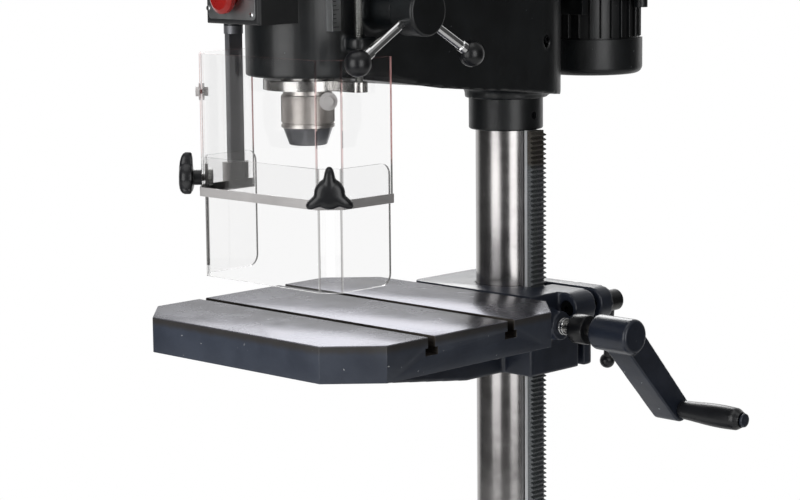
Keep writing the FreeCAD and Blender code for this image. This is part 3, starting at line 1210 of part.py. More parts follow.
def lower_shield():
    """Lower clear shield that slides inside the upper one, slotted for the knobs' studs."""
    outer = -SHEET_T - SHEET_GAP
    z0, z1 = TABLE_TOP + LOWER_BOTTOM, TABLE_TOP + LOWER_TOP
    body = guard_sheet(outer, outer - SHEET_T, z0, z1)
    rear = max(y for _, y in guard_plan(0))
    corners = []
    for edge in body.Edges:
        box_ = edge.BoundBox
        at_end = abs(box_.ZMin - z0) < 0.01 or abs(box_.ZMin - z1) < 0.01
        if abs(box_.YMax - rear) < 0.01 and box_.YLength < 0.01 and box_.ZLength < 0.01 and at_end:
            corners.append(edge)
    body = body.makeFillet(SHIELD_CORNER_R, corners)
    for side in (-1, 1):
        centre, way = chamfer_frame(side)
        across = V(-way.y, way.x, 0)
        half = SHIELD_SLOT_W / 2
        low, high = SHIELD_SLOT_LOW + half, SHIELD_SLOT_HIGH - half
        base_point = centre.add(V(way).multiply(-20))
        corners = [base_point.add(V(across).multiply(s * half)).add(V(0, 0, z))
                   for s, z in ((-1, low), (1, low), (1, high), (-1, high))]
        slot = prism([tuple(p) for p in corners], V(way).multiply(30))
        ends = [through_chamfer(side, z, half, -20, 30) for z in (low, high)]
        body = body.cut(slot).cut(ends[0]).cut(ends[1])
    return body


def shield_band():
    """Metal edge channel round the upper shield's lower rim."""
    z = TABLE_TOP + UPPER_BOTTOM
    leg = guard_sheet(BAND_T, 0, z - BAND_T, z - BAND_T + BAND_H)
    lip = guard_sheet(BAND_T, -SHEET_T, z - BAND_T, z)
    return leg.fuse(lip).removeSplitter()


def guide_screws():
    """Screw with washer and nut high on each cut corner of the upper shield."""
    screws = []
    for side in (-1, 1):
        shank = through_chamfer(side, GUIDE_Z, 3.0, -SHEET_T - 6, SHEET_T + 8)
        washer = through_chamfer(side, GUIDE_Z, GUIDE_R, 0, 1.6)
        top = through_chamfer(side, GUIDE_Z, 6.0, 1.6, 4.0)
        inside = through_chamfer(side, GUIDE_Z, GUIDE_R, -SHEET_T - 1.6, 1.6)
        nut = through_chamfer(side, GUIDE_Z, 5.5, -SHEET_T - 6.5, 5.0)
        screws.append(merge([shank, washer, top, inside, nut]))
    return Part.Compound(screws)


def guard_knob(side):
    """Three-lobed clamping knob on one cut corner."""
    centre, way = chamfer_frame(side)
    neck = through_chamfer(side, KNOB_Z, KNOB_NECK_R, FACE, KNOB_NECK_H)
    start = FACE + KNOB_NECK_H
    body = neck.fuse(through_chamfer(side, KNOB_Z, KNOB_LOBE_OFFSET * 0.86, start, KNOB_T))
    across = V(-way.y, way.x, 0)
    origin = centre.add(V(0, 0, KNOB_Z)).add(V(way).multiply(start))
    for angle in (90, 210, 330):
        turn = math.radians(angle)
        place = origin.add(V(across).multiply(KNOB_LOBE_OFFSET * math.cos(turn)))
        place = place.add(V(0, 0, KNOB_LOBE_OFFSET * math.sin(turn)))
        body = body.fuse(Part.makeCylinder(KNOB_LOBE_R, KNOB_T, place, way))
    body = body.removeSplitter()
    faces = [e for e in body.Edges if abs(e.CenterOfMass.sub(origin).dot(way) - KNOB_T) < 0.05]
    body = body.makeFillet(3.0, faces)
    return body.cut(through_chamfer(side, KNOB_Z, STUD_R, 0, KNOB_T))


def guard_stud(side):
    """Threaded stud of one knob, through both shields."""
    depth = 2 * SHEET_T + SHEET_GAP + 7
    return through_chamfer(side, KNOB_Z, STUD_R, -depth, depth + KNOB_T)


def guard_nut(side):
    """Round nut on the stud's end inside the lower shield."""
    start = -2 * SHEET_T - SHEET_GAP - FACE - 6
    nut = through_chamfer(side, KNOB_Z, 10, start, 6)
    return nut.cut(through_chamfer(side, KNOB_Z, STUD_R, start - 5, 20))


def guard_bar():
    """Flat steel bar and pivot pin that carry the upper shield on the machine's left."""
    z0, z1 = TABLE_TOP + UPPER_BOTTOM - BAND_T + BAND_H + FACE, TABLE_TOP + PIVOT_Z
    bar = box(BAR_X - BAR_T / 2, BAR_X + BAR_T / 2, BAR_Y - BAR_W / 2, BAR_Y + BAR_W / 2, z0, z1)
    hub = rod(BAR_W / 2 + 1, (BAR_X, BAR_Y, z1 - 4), Z_AXIS, 10)
    pin = rod(6, (BAR_X, BAR_Y, z1), Z_AXIS, 46)
    return merge([bar, hub, pin])


def guard_block():
    """Clamp block between bar, band and upper shield."""
    z0 = TABLE_TOP + UPPER_BOTTOM + 2
    y0, y1 = BAR_Y - 16, BAR_Y + 16
    block = box(BAR_X - BAR_T / 2 - 4, -GUARD_HALF_W, y0, y1, z0, z0 + 29)
    lower = [e for e in block.Edges if e.BoundBox.ZMax < z0 + 0.01 and e.BoundBox.XLength > 1]
    block = block.makeFillet(9, lower)
    block = block.cut(shield_band())
    return block.cut(guard_bar())


def guard_bracket():
    """Arm on the head's left side with the guard's pivot bearing."""
    z0 = TABLE_TOP + PIVOT_Z + 6 + FACE
    eye = rod(12, (BAR_X, BAR_Y, z0), Z_AXIS, 24)
    arm = box(BAR_X, -40, BAR_Y - 12, BAR_Y + 12, z0 + 4, z0 + 20)
    body = eye.fuse(arm).cut(head_outline(0))
    return body.cut(rod(6 + RUN, (BAR_X, BAR_Y, z0 - 5), Z_AXIS, 60)).removeSplitter()


# ======================= switch box =======================
def switch_box():
    """Control box on the head's front, hollowed to the head's curve at its back."""
    y = SPINDLE_Y - HEAD_FRONT_R
    z = TABLE_TOP + SWITCH_Z
    body = box(-SWITCH_W / 2, SWITCH_W / 2, y - SWITCH_D, y + 16, z, z + SWITCH_H)
    front = [e for e in body.Edges if e.BoundBox.YMax < y - SWITCH_D + 0.01]
    body = body.makeFillet(5, front)
    body = body.cut(rod(HEAD_FRONT_R, (0, SPINDLE_Y, z - 5), Z_AXIS, SWITCH_H + 10))
    for x, dz, radius in button_places():
        body = body.cut(rod(radius + GAP, (x, y - SWITCH_D - 1, z + dz), Y_AXIS, 22))
    return body


def button_places():
    """X, height in the box and radius of start, stop and emergency buttons."""
    return ((-22.0, 78.0, BUTTON_R), (22.0, 78.0, BUTTON_R), (0.0, 32.0, 9.0))


def push_button(index):
    """Start or stop button with a shallow domed face."""
    x, dz, radius = button_places()[index]
    y = SPINDLE_Y - HEAD_FRONT_R - SWITCH_D
    body = rod(radius, (x, y - 4, TABLE_TOP + SWITCH_Z + dz), Y_AXIS, 18)
    return body.makeFillet(1.5, [e for e in body.Edges if e.BoundBox.YMax < y - 3.9])


def estop_button():
    """Mushroom emergency button."""
    x, dz, radius = button_places()[2]
    y = SPINDLE_Y - HEAD_FRONT_R - SWITCH_D
    z = TABLE_TOP + SWITCH_Z + dz
    stem = rod(radius, (x, y - 14, z), Y_AXIS, 28)
    cap = turned([(0, 0), (ESTOP_R - 2, 0), (ESTOP_R, 3), (ESTOP_R, 8), (ESTOP_R - 5, 12), (0, 13)],
                 (x, y - 9, z), V(0, -1, 0))
    return stem.fuse(cap).removeSplitter()


# ======================= every node =======================
def group(*shapes):
    """Separate solids that share one node."""
    return Part.Compound([solid for shape in shapes for solid in shape.Solids])


def stand_parts():
    """Everything that stands still."""
    head_shape = head()
    return {
        "base": base(),
        "column_foot": column_foot(),
        "column": column(),
        "stand_screws": group(foot_bolts(), rack_collar_screw(), head_lock_screws()),
        "rack_collar": rack_collar(),
        "head": head_shape,
        "depth_scale": depth_scale(head_shape),
        "quill_lock_seat": quill_lock_seat(),
        "spring_cap": spring_cap(),
        "return_spring": return_spring(),
        "belt_tray": group(belt_tray(), pulley_bearing(), idler_post()),
        "cover_hinges": cover_hinges(),
        "front_belt": front_belt(),
        "rear_belt": rear_belt(),
        "switch_box": switch_box(),
        "guard_bracket": guard_bracket(),
    }


def table_parts():
    """Rack, table and everything that lifts and swings with them."""
    return {
        "rack": rack(),
        "table_bracket": table_bracket(),
        "table": table(),
        "table_bolts": table_bolts(),
        "clamp_bolt": clamp_bolt(),
        "clamp_lever": clamp_lever(),
        "lift_pinion": lift_pinion(),
        "lift_wheel": group(lift_wheel(), cross_shaft()),
        "lift_worm": lift_worm(),
        "crank_spacers": group(crank_washer(), crank_collar()),
        "crank_arm": group(crank_arm(), grip_pin()),
        "crank_grip": grip(),
    }


def spindle_parts():
    """Quill, spindle, chuck and feed."""
    parts = {
        "quill": quill(),
        "quill_collar": quill_collar(),
        "quill_bearings": quill_bearings(),
        "depth_stop": group(depth_rod(), depth_nuts()),
        "spindle": spindle(),
        "chuck_body": chuck_body(),
        "chuck_sleeve": chuck_sleeve(),
        "feed_shaft": feed_shaft(),
        "feed_hub": feed_hub(),
        "feed_handles": group(feed_spokes(), feed_knobs()),
        "quill_lock": quill_lock(),
    }
    for i in range(3):
        parts["chuck_jaw_%d" % (i + 1)] = chuck_jaw(i)
    return parts


def drive_parts():
    """Belt cover, pulleys and motor."""
    return {
        "belt_cover": belt_cover(),
        "cover_fittings": group(cover_leaves(), cover_knob()),
        "drive_pulley": drive_pulley(),
        "idler_pulley": idler_pulley(),
        "motor_pulley": group(motor_pulley(), motor_shaft()),
        "motor": motor(),
        "motor_covers": group(fan_cover(), terminal_box()),
        "motor_mount": group(motor_plate(), motor_rods()),
    }


def guard_parts():
    """Swing-away chuck guard."""
    return {
        "guard_bar": guard_bar(),
        "upper_shield": upper_shield(),
        "shield_band": group(shield_band(), guard_block()),
        "shield_screws": group(guide_screws()),
        "lower_shield": lower_shield(),
        "guard_knob_right": group(guard_knob(1), guard_stud(1), guard_nut(1)),
        "guard_knob_left": group(guard_knob(-1), guard_stud(-1), guard_nut(-1)),
    }


def button_parts():
    """Pressed controls."""
    return {
        "start_button": push_button(0),
        "stop_button": push_button(1),
        "estop_button": estop_button(),
    }


def main():
    """Write every node's STEP file."""
    os.makedirs("parts", exist_ok=True)
    for parts in (stand_parts(), table_parts(), spindle_parts(), drive_parts(), guard_parts(), button_parts()):
        for name, shape in parts.items():
            shape.exportStep("parts/%s.step" % name)


main()
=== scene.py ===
"""Looks of a floor-standing pillar drill press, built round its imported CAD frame.

Lengths in the classes are millimetres in the row frame (+Z up, -Y towards the operator, +X to the
machine's right, origin on the column axis at the floor); a Draft turns them into metres.
"""
import logging
import math
from collections.abc import Callable, Iterable, Sequence
from dataclasses import dataclass, field
from enum import Enum

import bmesh
import bpy
from mathutils import Matrix, Vector


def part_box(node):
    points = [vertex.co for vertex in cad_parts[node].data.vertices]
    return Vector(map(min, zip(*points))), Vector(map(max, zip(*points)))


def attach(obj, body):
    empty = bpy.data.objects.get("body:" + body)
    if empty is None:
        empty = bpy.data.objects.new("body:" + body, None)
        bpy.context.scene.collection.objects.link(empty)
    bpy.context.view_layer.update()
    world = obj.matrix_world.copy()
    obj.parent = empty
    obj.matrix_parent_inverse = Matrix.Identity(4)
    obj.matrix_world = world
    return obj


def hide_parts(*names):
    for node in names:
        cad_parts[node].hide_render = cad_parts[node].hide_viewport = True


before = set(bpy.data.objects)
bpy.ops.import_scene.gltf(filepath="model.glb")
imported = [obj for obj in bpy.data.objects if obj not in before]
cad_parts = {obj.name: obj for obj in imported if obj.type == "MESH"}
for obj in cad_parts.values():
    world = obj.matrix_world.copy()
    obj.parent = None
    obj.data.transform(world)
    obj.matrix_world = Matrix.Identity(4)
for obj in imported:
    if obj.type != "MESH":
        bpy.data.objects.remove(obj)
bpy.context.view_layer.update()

LOG = logging.getLogger("drill_press")
MM = 0.001
Colour = tuple[float, float, float, float]
Profile = Sequence[tuple[float, float]]
UP = Vector((0.0, 0.0, 1.0))


def tint(code: str) -> Colour:
    """Turn a six-digit sRGB code into linear RGBA.

    Args:
        code: hexadecimal digits such as "8090a0".

    Returns:
        The linear colour with full alpha.
    """
    parts = [int(code[i:i + 2], 16) / 255 for i in (0, 2, 4)]
    line = [c / 12.92 if c <= 0.04045 else ((c + 0.055) / 1.055) ** 2.4 for c in parts]
    return (line[0], line[1], line[2], 1.0)


class Axis(Enum):
    """Directions that round parts are laid along."""

    RIGHT = (1.0, 0.0, 0.0)
    REAR = (0.0, 1.0, 0.0)
    FRONT = (0.0, -1.0, 0.0)
    UP = (0.0, 0.0, 1.0)

    def vector(self) -> Vector:
        """Return the direction as a vector."""
        return Vector(self.value)


class Side(Enum):
    """Right and left as seen by the operator."""

    RIGHT = 1
    LEFT = -1


# ======================= node trees =======================
class Graph:
    """Adds and joins nodes in one tree with short calls."""

    def __init__(self, tree: bpy.types.NodeTree) -> None:
        """Start on an emptied tree."""
        self.tree = tree
        tree.nodes.clear()

    def add(self, kind: str, inputs: dict | None = None, **settings: object) -> bpy.types.Node:
        """Add one node.

        Args:
            kind: the node type's identifier.
            inputs: socket name or number to a value or to an output socket.
            settings: the node's own properties.

        Returns:
            The new node.
        """
        node = self.tree.nodes.new(kind)
        for key, value in settings.items():
            setattr(node, key, value)
        for key, value in (inputs or {}).items():
            if isinstance(value, bpy.types.NodeSocket):
                self.tree.links.new(value, node.inputs[key])
            else:
                node.inputs[key].default_value = value
        return node

    def math(self, operation: str, *values: object, clamp: bool = False) -> bpy.types.NodeSocket:
        """Add a Math node and return its result."""
        kind = "ShaderNodeMath"
        node = self.add(kind, dict(enumerate(values)), operation=operation, use_clamp=clamp)
        return node.outputs[0]

    def blend(self, share: object, first: object, second: object) -> bpy.types.NodeSocket:
        """Mix two colours by a share and return the colour."""
        node = self.add("ShaderNodeMix", {0: share, 6: first, 7: second}, data_type="RGBA")
        return node.outputs[2]

    def between(self, share: object, low: float, high: float) -> bpy.types.NodeSocket:
        """Spread a share from 0 to 1 over a range of numbers."""
        return self.add("ShaderNodeMapRange", {"Value": share, "To Min": low, "To Max": high}).outputs[0]

    def step(self, value: object, low: float, high: float) -> bpy.types.NodeSocket:
        """Return 0 below low, 1 above high and a smooth rise between them."""
        node = self.add("ShaderNodeMapRange", {"Value": value, "From Min": low, "From Max": high},
                        interpolation_type="SMOOTHSTEP")
        return node.outputs[0]

    def noise(self, vector: object, scale: float, detail: float = 3.0,
              roughness: float = 0.55) -> bpy.types.NodeSocket:
        """Add a Noise texture and return its value."""
        return self.add("ShaderNodeTexNoise", {"Vector": vector, "Scale": scale, "Detail": detail,
                                               "Roughness": roughness}).outputs[0]

    def place(self) -> bpy.types.NodeSocket:
        """Return Object coordinates, in metres in the row frame."""
        return self.add("ShaderNodeTexCoord").outputs["Object"]

    def stretched(self, vector: object, scale: tuple[float, float, float]) -> bpy.types.NodeSocket:
        """Scale coordinates along each axis."""
        return self.add("ShaderNodeMapping", {"Vector": vector, "Scale": scale}).outputs[0]

    def part_of(self, vector: object, axis: int) -> bpy.types.NodeSocket:
        """Return one coordinate of a vector."""
        return self.add("ShaderNodeSeparateXYZ", {0: vector}).outputs[axis]


class Effects:
    """Shader node groups that several finishes share, each built once."""

    made: dict[str, bpy.types.NodeTree] = {}

    @classmethod
    def start(cls, name: str, inputs: dict[str, float],
              outputs: Sequence[str]) -> tuple[Graph, bpy.types.Node]:
        """Open a new group with float inputs and outputs and return its graph and input node."""
        tree = bpy.data.node_groups.new(name, "ShaderNodeTree")
        for label, value in inputs.items():
            socket = tree.interface.new_socket(label, in_out="INPUT", socket_type="NodeSocketFloat")
            socket.default_value = value
        for label in outputs:
            tree.interface.new_socket(label, in_out="OUTPUT", socket_type="NodeSocketFloat")
        graph = Graph(tree)
        cls.made[name] = tree
        return graph, graph.add("NodeGroupInput")

    @classmethod
    def edge_wear(cls) -> bpy.types.NodeTree:
        """Mask of worn outer edges, broken up by noise."""
        if "Edge wear" in cls.made:
            return cls.made["Edge wear"]
        g, given = cls.start("Edge wear", {"Radius": 0.002, "Scale": 60.0, "Amount": 0.5}, ["Mask"])
        soft = g.add("ShaderNodeBevel", {"Radius": given.outputs["Radius"]}, samples=4).outputs[0]
        flat = g.add("ShaderNodeNewGeometry").outputs["Normal"]
        turn = g.add("ShaderNodeVectorMath", {0: soft, 1: flat}, operation="DOT_PRODUCT").outputs["Value"]
        edge = g.step(g.math("SUBTRACT", 1.0, turn), 0.01, 0.14)
        grain = g.add("ShaderNodeTexNoise", {"Vector": g.place(), "Scale": given.outputs["Scale"],
                                             "Detail": 5.0, "Roughness": 0.62}).outputs[0]
        limit = g.math("SUBTRACT", 1.0, given.outputs["Amount"])
        broken = g.math("MULTIPLY", g.math("SUBTRACT", grain, limit), 9.0, clamp=True)
        g.add("NodeGroupOutput", {"Mask": g.math("MULTIPLY", edge, broken)})
        return g.tree

    @classmethod
    def cast_skin(cls) -> bpy.types.NodeTree:
        """Height and tone of paint over sand-cast iron."""
        if "Cast skin" in cls.made:
            return cls.made["Cast skin"]
        g, given = cls.start("Cast skin", {"Grain": 420.0, "Swell": 55.0}, ["Height", "Tone"])
        where = g.place()
        fine = g.add("ShaderNodeTexNoise", {"Vector": where, "Scale": given.outputs["Grain"], "Detail": 2.0})
        wide = g.add("ShaderNodeTexNoise", {"Vector": where, "Scale": given.outputs["Swell"], "Detail": 2.0})
        tone = g.noise(where, 14.0, 5.0, 0.6)
        height = g.math("ADD", g.math("MULTIPLY", fine.outputs[0], 0.35), wide.outputs[0])
        g.add("NodeGroupOutput", {"Height": height, "Tone": g.step(tone, 0.3, 0.7)})
        return g.tree

    @classmethod
    def chips(cls) -> bpy.types.NodeTree:
        """Mask of small scattered paint chips and specks."""
        if "Paint chips" in cls.made:
            return cls.made["Paint chips"]
        g, given = cls.start("Paint chips", {"Scale": 120.0, "Share": 0.04}, ["Mask"])
        where = g.place()
        warp = g.add("ShaderNodeTexNoise", {"Vector": where, "Scale": 260.0, "Detail": 2.0}).outputs["Color"]
        shaken = g.add("ShaderNodeVectorMath", {0: warp, 3: 0.008}, operation="SCALE").outputs[0]
        moved = g.add("ShaderNodeVectorMath", {0: where, 1: shaken}).outputs[0]
        cell = g.add("ShaderNodeTexVoronoi", {"Vector": moved, "Scale": given.outputs["Scale"]})
        pick = g.add("ShaderNodeSeparateColor", {0: cell.outputs["Color"]})
        chosen = g.math("LESS_THAN", pick.outputs[0], given.outputs["Share"])
        size = g.math("MULTIPLY", pick.outputs[1], 0.34)
        near = g.math("LESS_THAN", cell.outputs["Distance"], size)
        g.add("NodeGroupOutput", {"Mask": g.math("MULTIPLY", chosen, near)})
        return g.tree

    @classmethod
    def brushed(cls) -> bpy.types.NodeTree:
        """Height and tone of fine machining marks; stretch sets their direction."""
        if "Machining marks" in cls.made:
            return cls.made["Machining marks"]
        g, given = cls.start("Machining marks", {"Along X": 60.0, "Along Y": 900.0, "Along Z": 900.0},
                             ["Height", "Tone"])
        where = g.place()
        sizes = g.add("ShaderNodeCombineXYZ", {i: given.outputs[i] for i in range(3)}).outputs[0]
        moved = g.add("ShaderNodeVectorMath", {0: where, 1: sizes}, operation="MULTIPLY").outputs[0]
        marks = g.noise(moved, 1.0, 4.0, 0.65)
        cloud = g.noise(where, 16.0, 4.0, 0.6)
        g.add("NodeGroupOutput", {"Height": marks, "Tone": g.step(cloud, 0.32, 0.68)})
        return g.tree

    @classmethod
    def use(cls, graph: Graph, tree: bpy.types.NodeTree, **values: float) -> bpy.types.Node:
        """Place a group in a material.

        Args:
            graph: the material's graph.
            tree: the group.
            values: input names, with underscores for spaces, to their numbers.

        Returns:
            The group node.
        """
        node = graph.add("ShaderNodeGroup", node_tree=tree)
        for key, value in values.items():
            node.inputs[key.replace("_", " ")].default_value = value
        return node


# ======================= finishes =======================
@dataclass(frozen=True)
class Finish:
    """What every surface finish has: a name, two tones and a roughness."""

    name: str
    colour: Colour
    deep: Colour
    roughness: float = 0.4

    def material(self) -> bpy.types.Material:
        """Return this finish's material, built on first use."""
        found = bpy.data.materials.get(self.name)
        if found is not None:
            return found
        made = bpy.data.materials.new(self.name)
        made.use_nodes = True
        graph = Graph(made.node_tree)
        shader = graph.add("ShaderNodeBsdfPrincipled")
        graph.add("ShaderNodeOutputMaterial", {"Surface": shader.outputs[0]})
        self.dress(graph, shader)
        made.diffuse_color = self.colour
        return made

    def dress(self, graph: Graph, shader: bpy.types.Node) -> None:
        """Join this finish's nodes to the shader."""
        raise NotImplementedError

    def join(self, graph: Graph, shader: bpy.types.Node, **sockets: bpy.types.NodeSocket) -> None:
        """Link varying sockets; names use underscores for spaces."""
        for key, value in sockets.items():
            graph.tree.links.new(value, shader.inputs[key.replace("_", " ")])

    def bump(self, graph: Graph, height: bpy.types.NodeSocket, depth: float,
             round_edges: float = 0.0) -> bpy.types.NodeSocket:
        """Turn a height into a normal.

        Args:
            graph: the material's graph.
            height: height from 0 to 1.
            depth: how far height 1 stands out, in metres.
            round_edges: radius of softened edges in metres, or 0 for none.

        Returns:
            The normal's socket.
        """
        inputs = {"Height": height, "Distance": depth, "Strength": 1.0}
        if round_edges:
            inputs["Normal"] = graph.add("ShaderNodeBevel", {"Radius": round_edges}, samples=4).outputs[0]
        return graph.add("ShaderNodeBump", inputs).outputs[0]


@dataclass(frozen=True)
class Paint(Finish):
    """Enamel over cast iron or sheet, with chips and worn edges.

    A bare band of the given depth can run under a ground top at bare_top.
    """

    skin: float = 0.00022
    wear: float = 0.3
    chip_share: float = 0.02
    bare: Colour = (0.5, 0.52, 0.55, 1.0)
    gloss_coat: float = 0.12
    soft_edge: float = 0.0012
    bare_top: float = 0.0
    bare_depth: float = 0.0

    def dress(self, graph: Graph, shader: bpy.types.Node) -> None:
        """Mottled enamel, then chips and worn edges in the bare tone."""
        skin = Effects.use(graph, Effects.cast_skin())
        worn = Effects.use(graph, Effects.edge_wear(), Amount=self.wear).outputs[0]
        chips = Effects.use(graph, Effects.chips(), Scale=340.0, Share=self.chip_share).outputs[0]
        colour = graph.blend(skin.outputs["Tone"], self.deep, self.colour)
        metal = graph.math("MAXIMUM", worn, graph.math("MULTIPLY", chips, 0.9))
        if self.bare_depth:
            height = graph.part_of(graph.place(), 2)
            ragged = graph.math("MULTIPLY", graph.noise(graph.place(), 70.0, 4.0), self.bare_depth * 0.5)
            band = graph.step(graph.math("ADD", height, ragged), self.bare_top - self.bare_depth,
                              self.bare_top - 0.2 * self.bare_depth)
            colour = graph.blend(graph.math("MULTIPLY", band, 0.85), colour, tint("3a3632"))
        colour = graph.blend(metal, colour, self.bare)
        shine = graph.between(skin.outputs["Tone"], self.roughness - 0.05, self.roughness + 0.07)
        raised = graph.math("SUBTRACT", skin.outputs["Height"], graph.math("MULTIPLY", metal, 0.6))
        self.join(graph, shader, Base_Color=colour, Roughness=shine,
                  Normal=self.bump(graph, raised, self.skin, self.soft_edge))
        shader.inputs["Coat Weight"].default_value = self.gloss_coat
        shader.inputs["Coat Roughness"].default_value = 0.18


@dataclass(frozen=True)
class Steel(Finish):
    """Machined, ground or turned metal; grain sets the marks along X, Y and Z."""

    grain: tuple[float, float, float] = (60.0, 900.0, 900.0)
    depth: float = 0.00003
    stain: float = 0.0
    stain_colour: Colour = (0.05, 0.035, 0.02, 1.0)
    wear: float = 0.0
    metallic: float = 1.0
    soft_edge: float = 0.0004
    low_glare: float = 1.0

    def dress(self, graph: Graph, shader: bpy.types.Node) -> None:
        """Directional marks that change tone, gloss and height, with faint stains."""
        marks = Effects.use(graph, Effects.brushed(), Along_X=self.grain[0], Along_Y=self.grain[1],
                            Along_Z=self.grain[2])
        line, cloud = marks.outputs["Height"], marks.outputs["Tone"]
        share = graph.math("MULTIPLY", graph.math("ADD", line, cloud), 0.5)
        colour = graph.blend(share, self.deep, self.colour)
        if self.stain:
            blot = graph.step(graph.noise(graph.place(), 42.0, 5.0, 0.65), 0.55, 0.72)
            colour = graph.blend(graph.math("MULTIPLY", blot, self.stain), colour, self.stain_colour)
        if self.wear:
            worn = Effects.use(graph, Effects.edge_wear(), Amount=self.wear, Radius=0.0012).outputs[0]
            colour = graph.blend(worn, colour, tint("b9b6b2"))
        shine = graph.math("ADD", graph.between(cloud, self.roughness * 0.82, self.roughness * 1.2),
                           graph.math("MULTIPLY", line, 0.05))
        self.join(graph, shader, Base_Color=colour, Roughness=shine,
                  Normal=self.bump(graph, line, self.depth, self.soft_edge))
        shader.inputs["Metallic"].default_value = self.metallic
        shader.inputs["Specular Tint"].default_value = (self.low_glare,) * 3 + (1.0,)


@dataclass(frozen=True)
class RackSteel(Steel):
    """Rack bar: bright planed back strip and dark teeth with old grease near the top."""

    step_x: float = 0.048
    grease_z: float = 1.0

    def dress(self, graph: Graph, shader: bpy.types.Node) -> None:
        """Tone by place across the bar, gritty between the teeth."""
        where = graph.place()
        toothed = graph.step(graph.part_of(where, 0), self.step_x - 0.0003, self.step_x + 0.0003)
        grit = graph.noise(where, 700.0, 4.0, 0.7)
        dark = graph.blend(graph.step(grit, 0.35, 0.7), self.deep, tint("a0a4a6"))
        greased = graph.math("ADD", graph.part_of(where, 2), graph.math("MULTIPLY", grit, 0.02))
        grease_and_pink_light = graph.step(greased, self.grease_z, self.grease_z + 0.01)
        dark = graph.blend(graph.math("MULTIPLY", grease_and_pink_light, 0.6), dark, self.stain_colour)
        colour = graph.blend(toothed, self.colour, dark)
        shine = graph.between(toothed, self.roughness, 0.5)
        self.join(graph, shader, Base_Color=colour, Roughness=shine,
                  Normal=self.bump(graph, grit, self.depth, self.soft_edge))
        shader.inputs["Metallic"].default_value = 0.2


@dataclass(frozen=True)
class Moulding(Finish):
    """Moulded plastic or rubber with a fine matt grain and slightly paler edges."""

    grain: float = 0.00006
    sheen: float = 0.0
    wear: float = 0.12
    soft_edge: float = 0.0008

    def dress(self, graph: Graph, shader: bpy.types.Node) -> None:
        """Fine spark-eroded grain, faint blotches and polished edges."""
        skin = Effects.use(graph, Effects.cast_skin(), Grain=1500.0, Swell=300.0)
        rubbed = Effects.use(graph, Effects.edge_wear(), Amount=self.wear + 0.25, Radius=0.0015).outputs[0]
        colour = graph.blend(skin.outputs["Tone"], self.deep, self.colour)
        pale = tuple(min(1.0, 1.6 * c + 0.01) for c in self.colour[:3]) + (1.0,)
        colour = graph.blend(graph.math("MULTIPLY", rubbed, self.wear * 3.0), colour, pale)
        shine = graph.between(skin.outputs["Tone"], self.roughness - 0.04, self.roughness + 0.06)
        self.join(graph, shader, Base_Color=colour, Roughness=shine,
                  Normal=self.bump(graph, skin.outputs["Height"], self.grain, self.soft_edge))
        shader.inputs["Sheen Weight"].default_value = self.sheen


@dataclass(frozen=True)
class ClearSheet(Finish):
    """Clear polycarbonate with denser bends; above a set height the bends and edges get a painted pink light,
    standing for red light carried along the sheet.
    """

    alpha: float = 0.06
    transmission: float = 1.0
    bends: tuple[tuple[float, float], ...] = ()
    bend_r: float = 0.0022
    pink_light_z: float = 9.0

    def dress(self, graph: Graph, shader: bpy.types.Node) -> None:
        """Faint haze and fine handling scratches in a clear sheet."""
        where = graph.place()
        haze = graph.noise(where, 30.0, 4.0, 0.6)
        colour = graph.blend(graph.step(haze, 0.3, 0.7), self.deep, self.colour)
        lines = graph.noise(graph.stretched(where, (900.0, 900.0, 25.0)), 1.0, 2.0)
        shine = graph.between(graph.step(lines, 0.6, 0.75), self.roughness, self.roughness + 0.05)
        x, y, z = (graph.part_of(where, i) for i in range(3))
        # painted pink light: above this height the bends and edges turn pink, standing for red light carried
        # along the sheet from a red part above
        grease_and_pink_light = graph.step(z, self.pink_light_z, self.pink_light_z + 0.02)
        if not self.bends:
            # the sheet's edge faces take the painted pink light above the set height
            colour = graph.blend(grease_and_pink_light, colour, tint("d79a98"))
            self.join(graph, shader, Base_Color=colour, Roughness=shine)
            shader.inputs["Alpha"].default_value = self.alpha
        else:
            near = None
            for bend_x, bend_y in self.bends:
                dx = graph.math("SUBTRACT", graph.math("ABSOLUTE", x), bend_x)
                dy = graph.math("SUBTRACT", y, bend_y)
                square = graph.math("ADD", graph.math("MULTIPLY", dx, dx), graph.math("MULTIPLY", dy, dy))
                far = graph.math("SQRT", square)
                here = graph.math("SUBTRACT", 1.0, graph.step(far, self.bend_r * 0.6, self.bend_r))
                near = here if near is None else graph.math("MAXIMUM", near, here)
            # bends are grey below the set height and take the painted pink light above it
            colour = graph.blend(near, colour, graph.blend(grease_and_pink_light, tint("565453"), tint("b87472")))
            self.join(graph, shader, Base_Color=colour, Roughness=shine,
                      Alpha=graph.between(near, self.alpha, 0.85))
        shader.inputs["Transmission Weight"].default_value = self.transmission
        shader.inputs["IOR"].default_value = 1.45


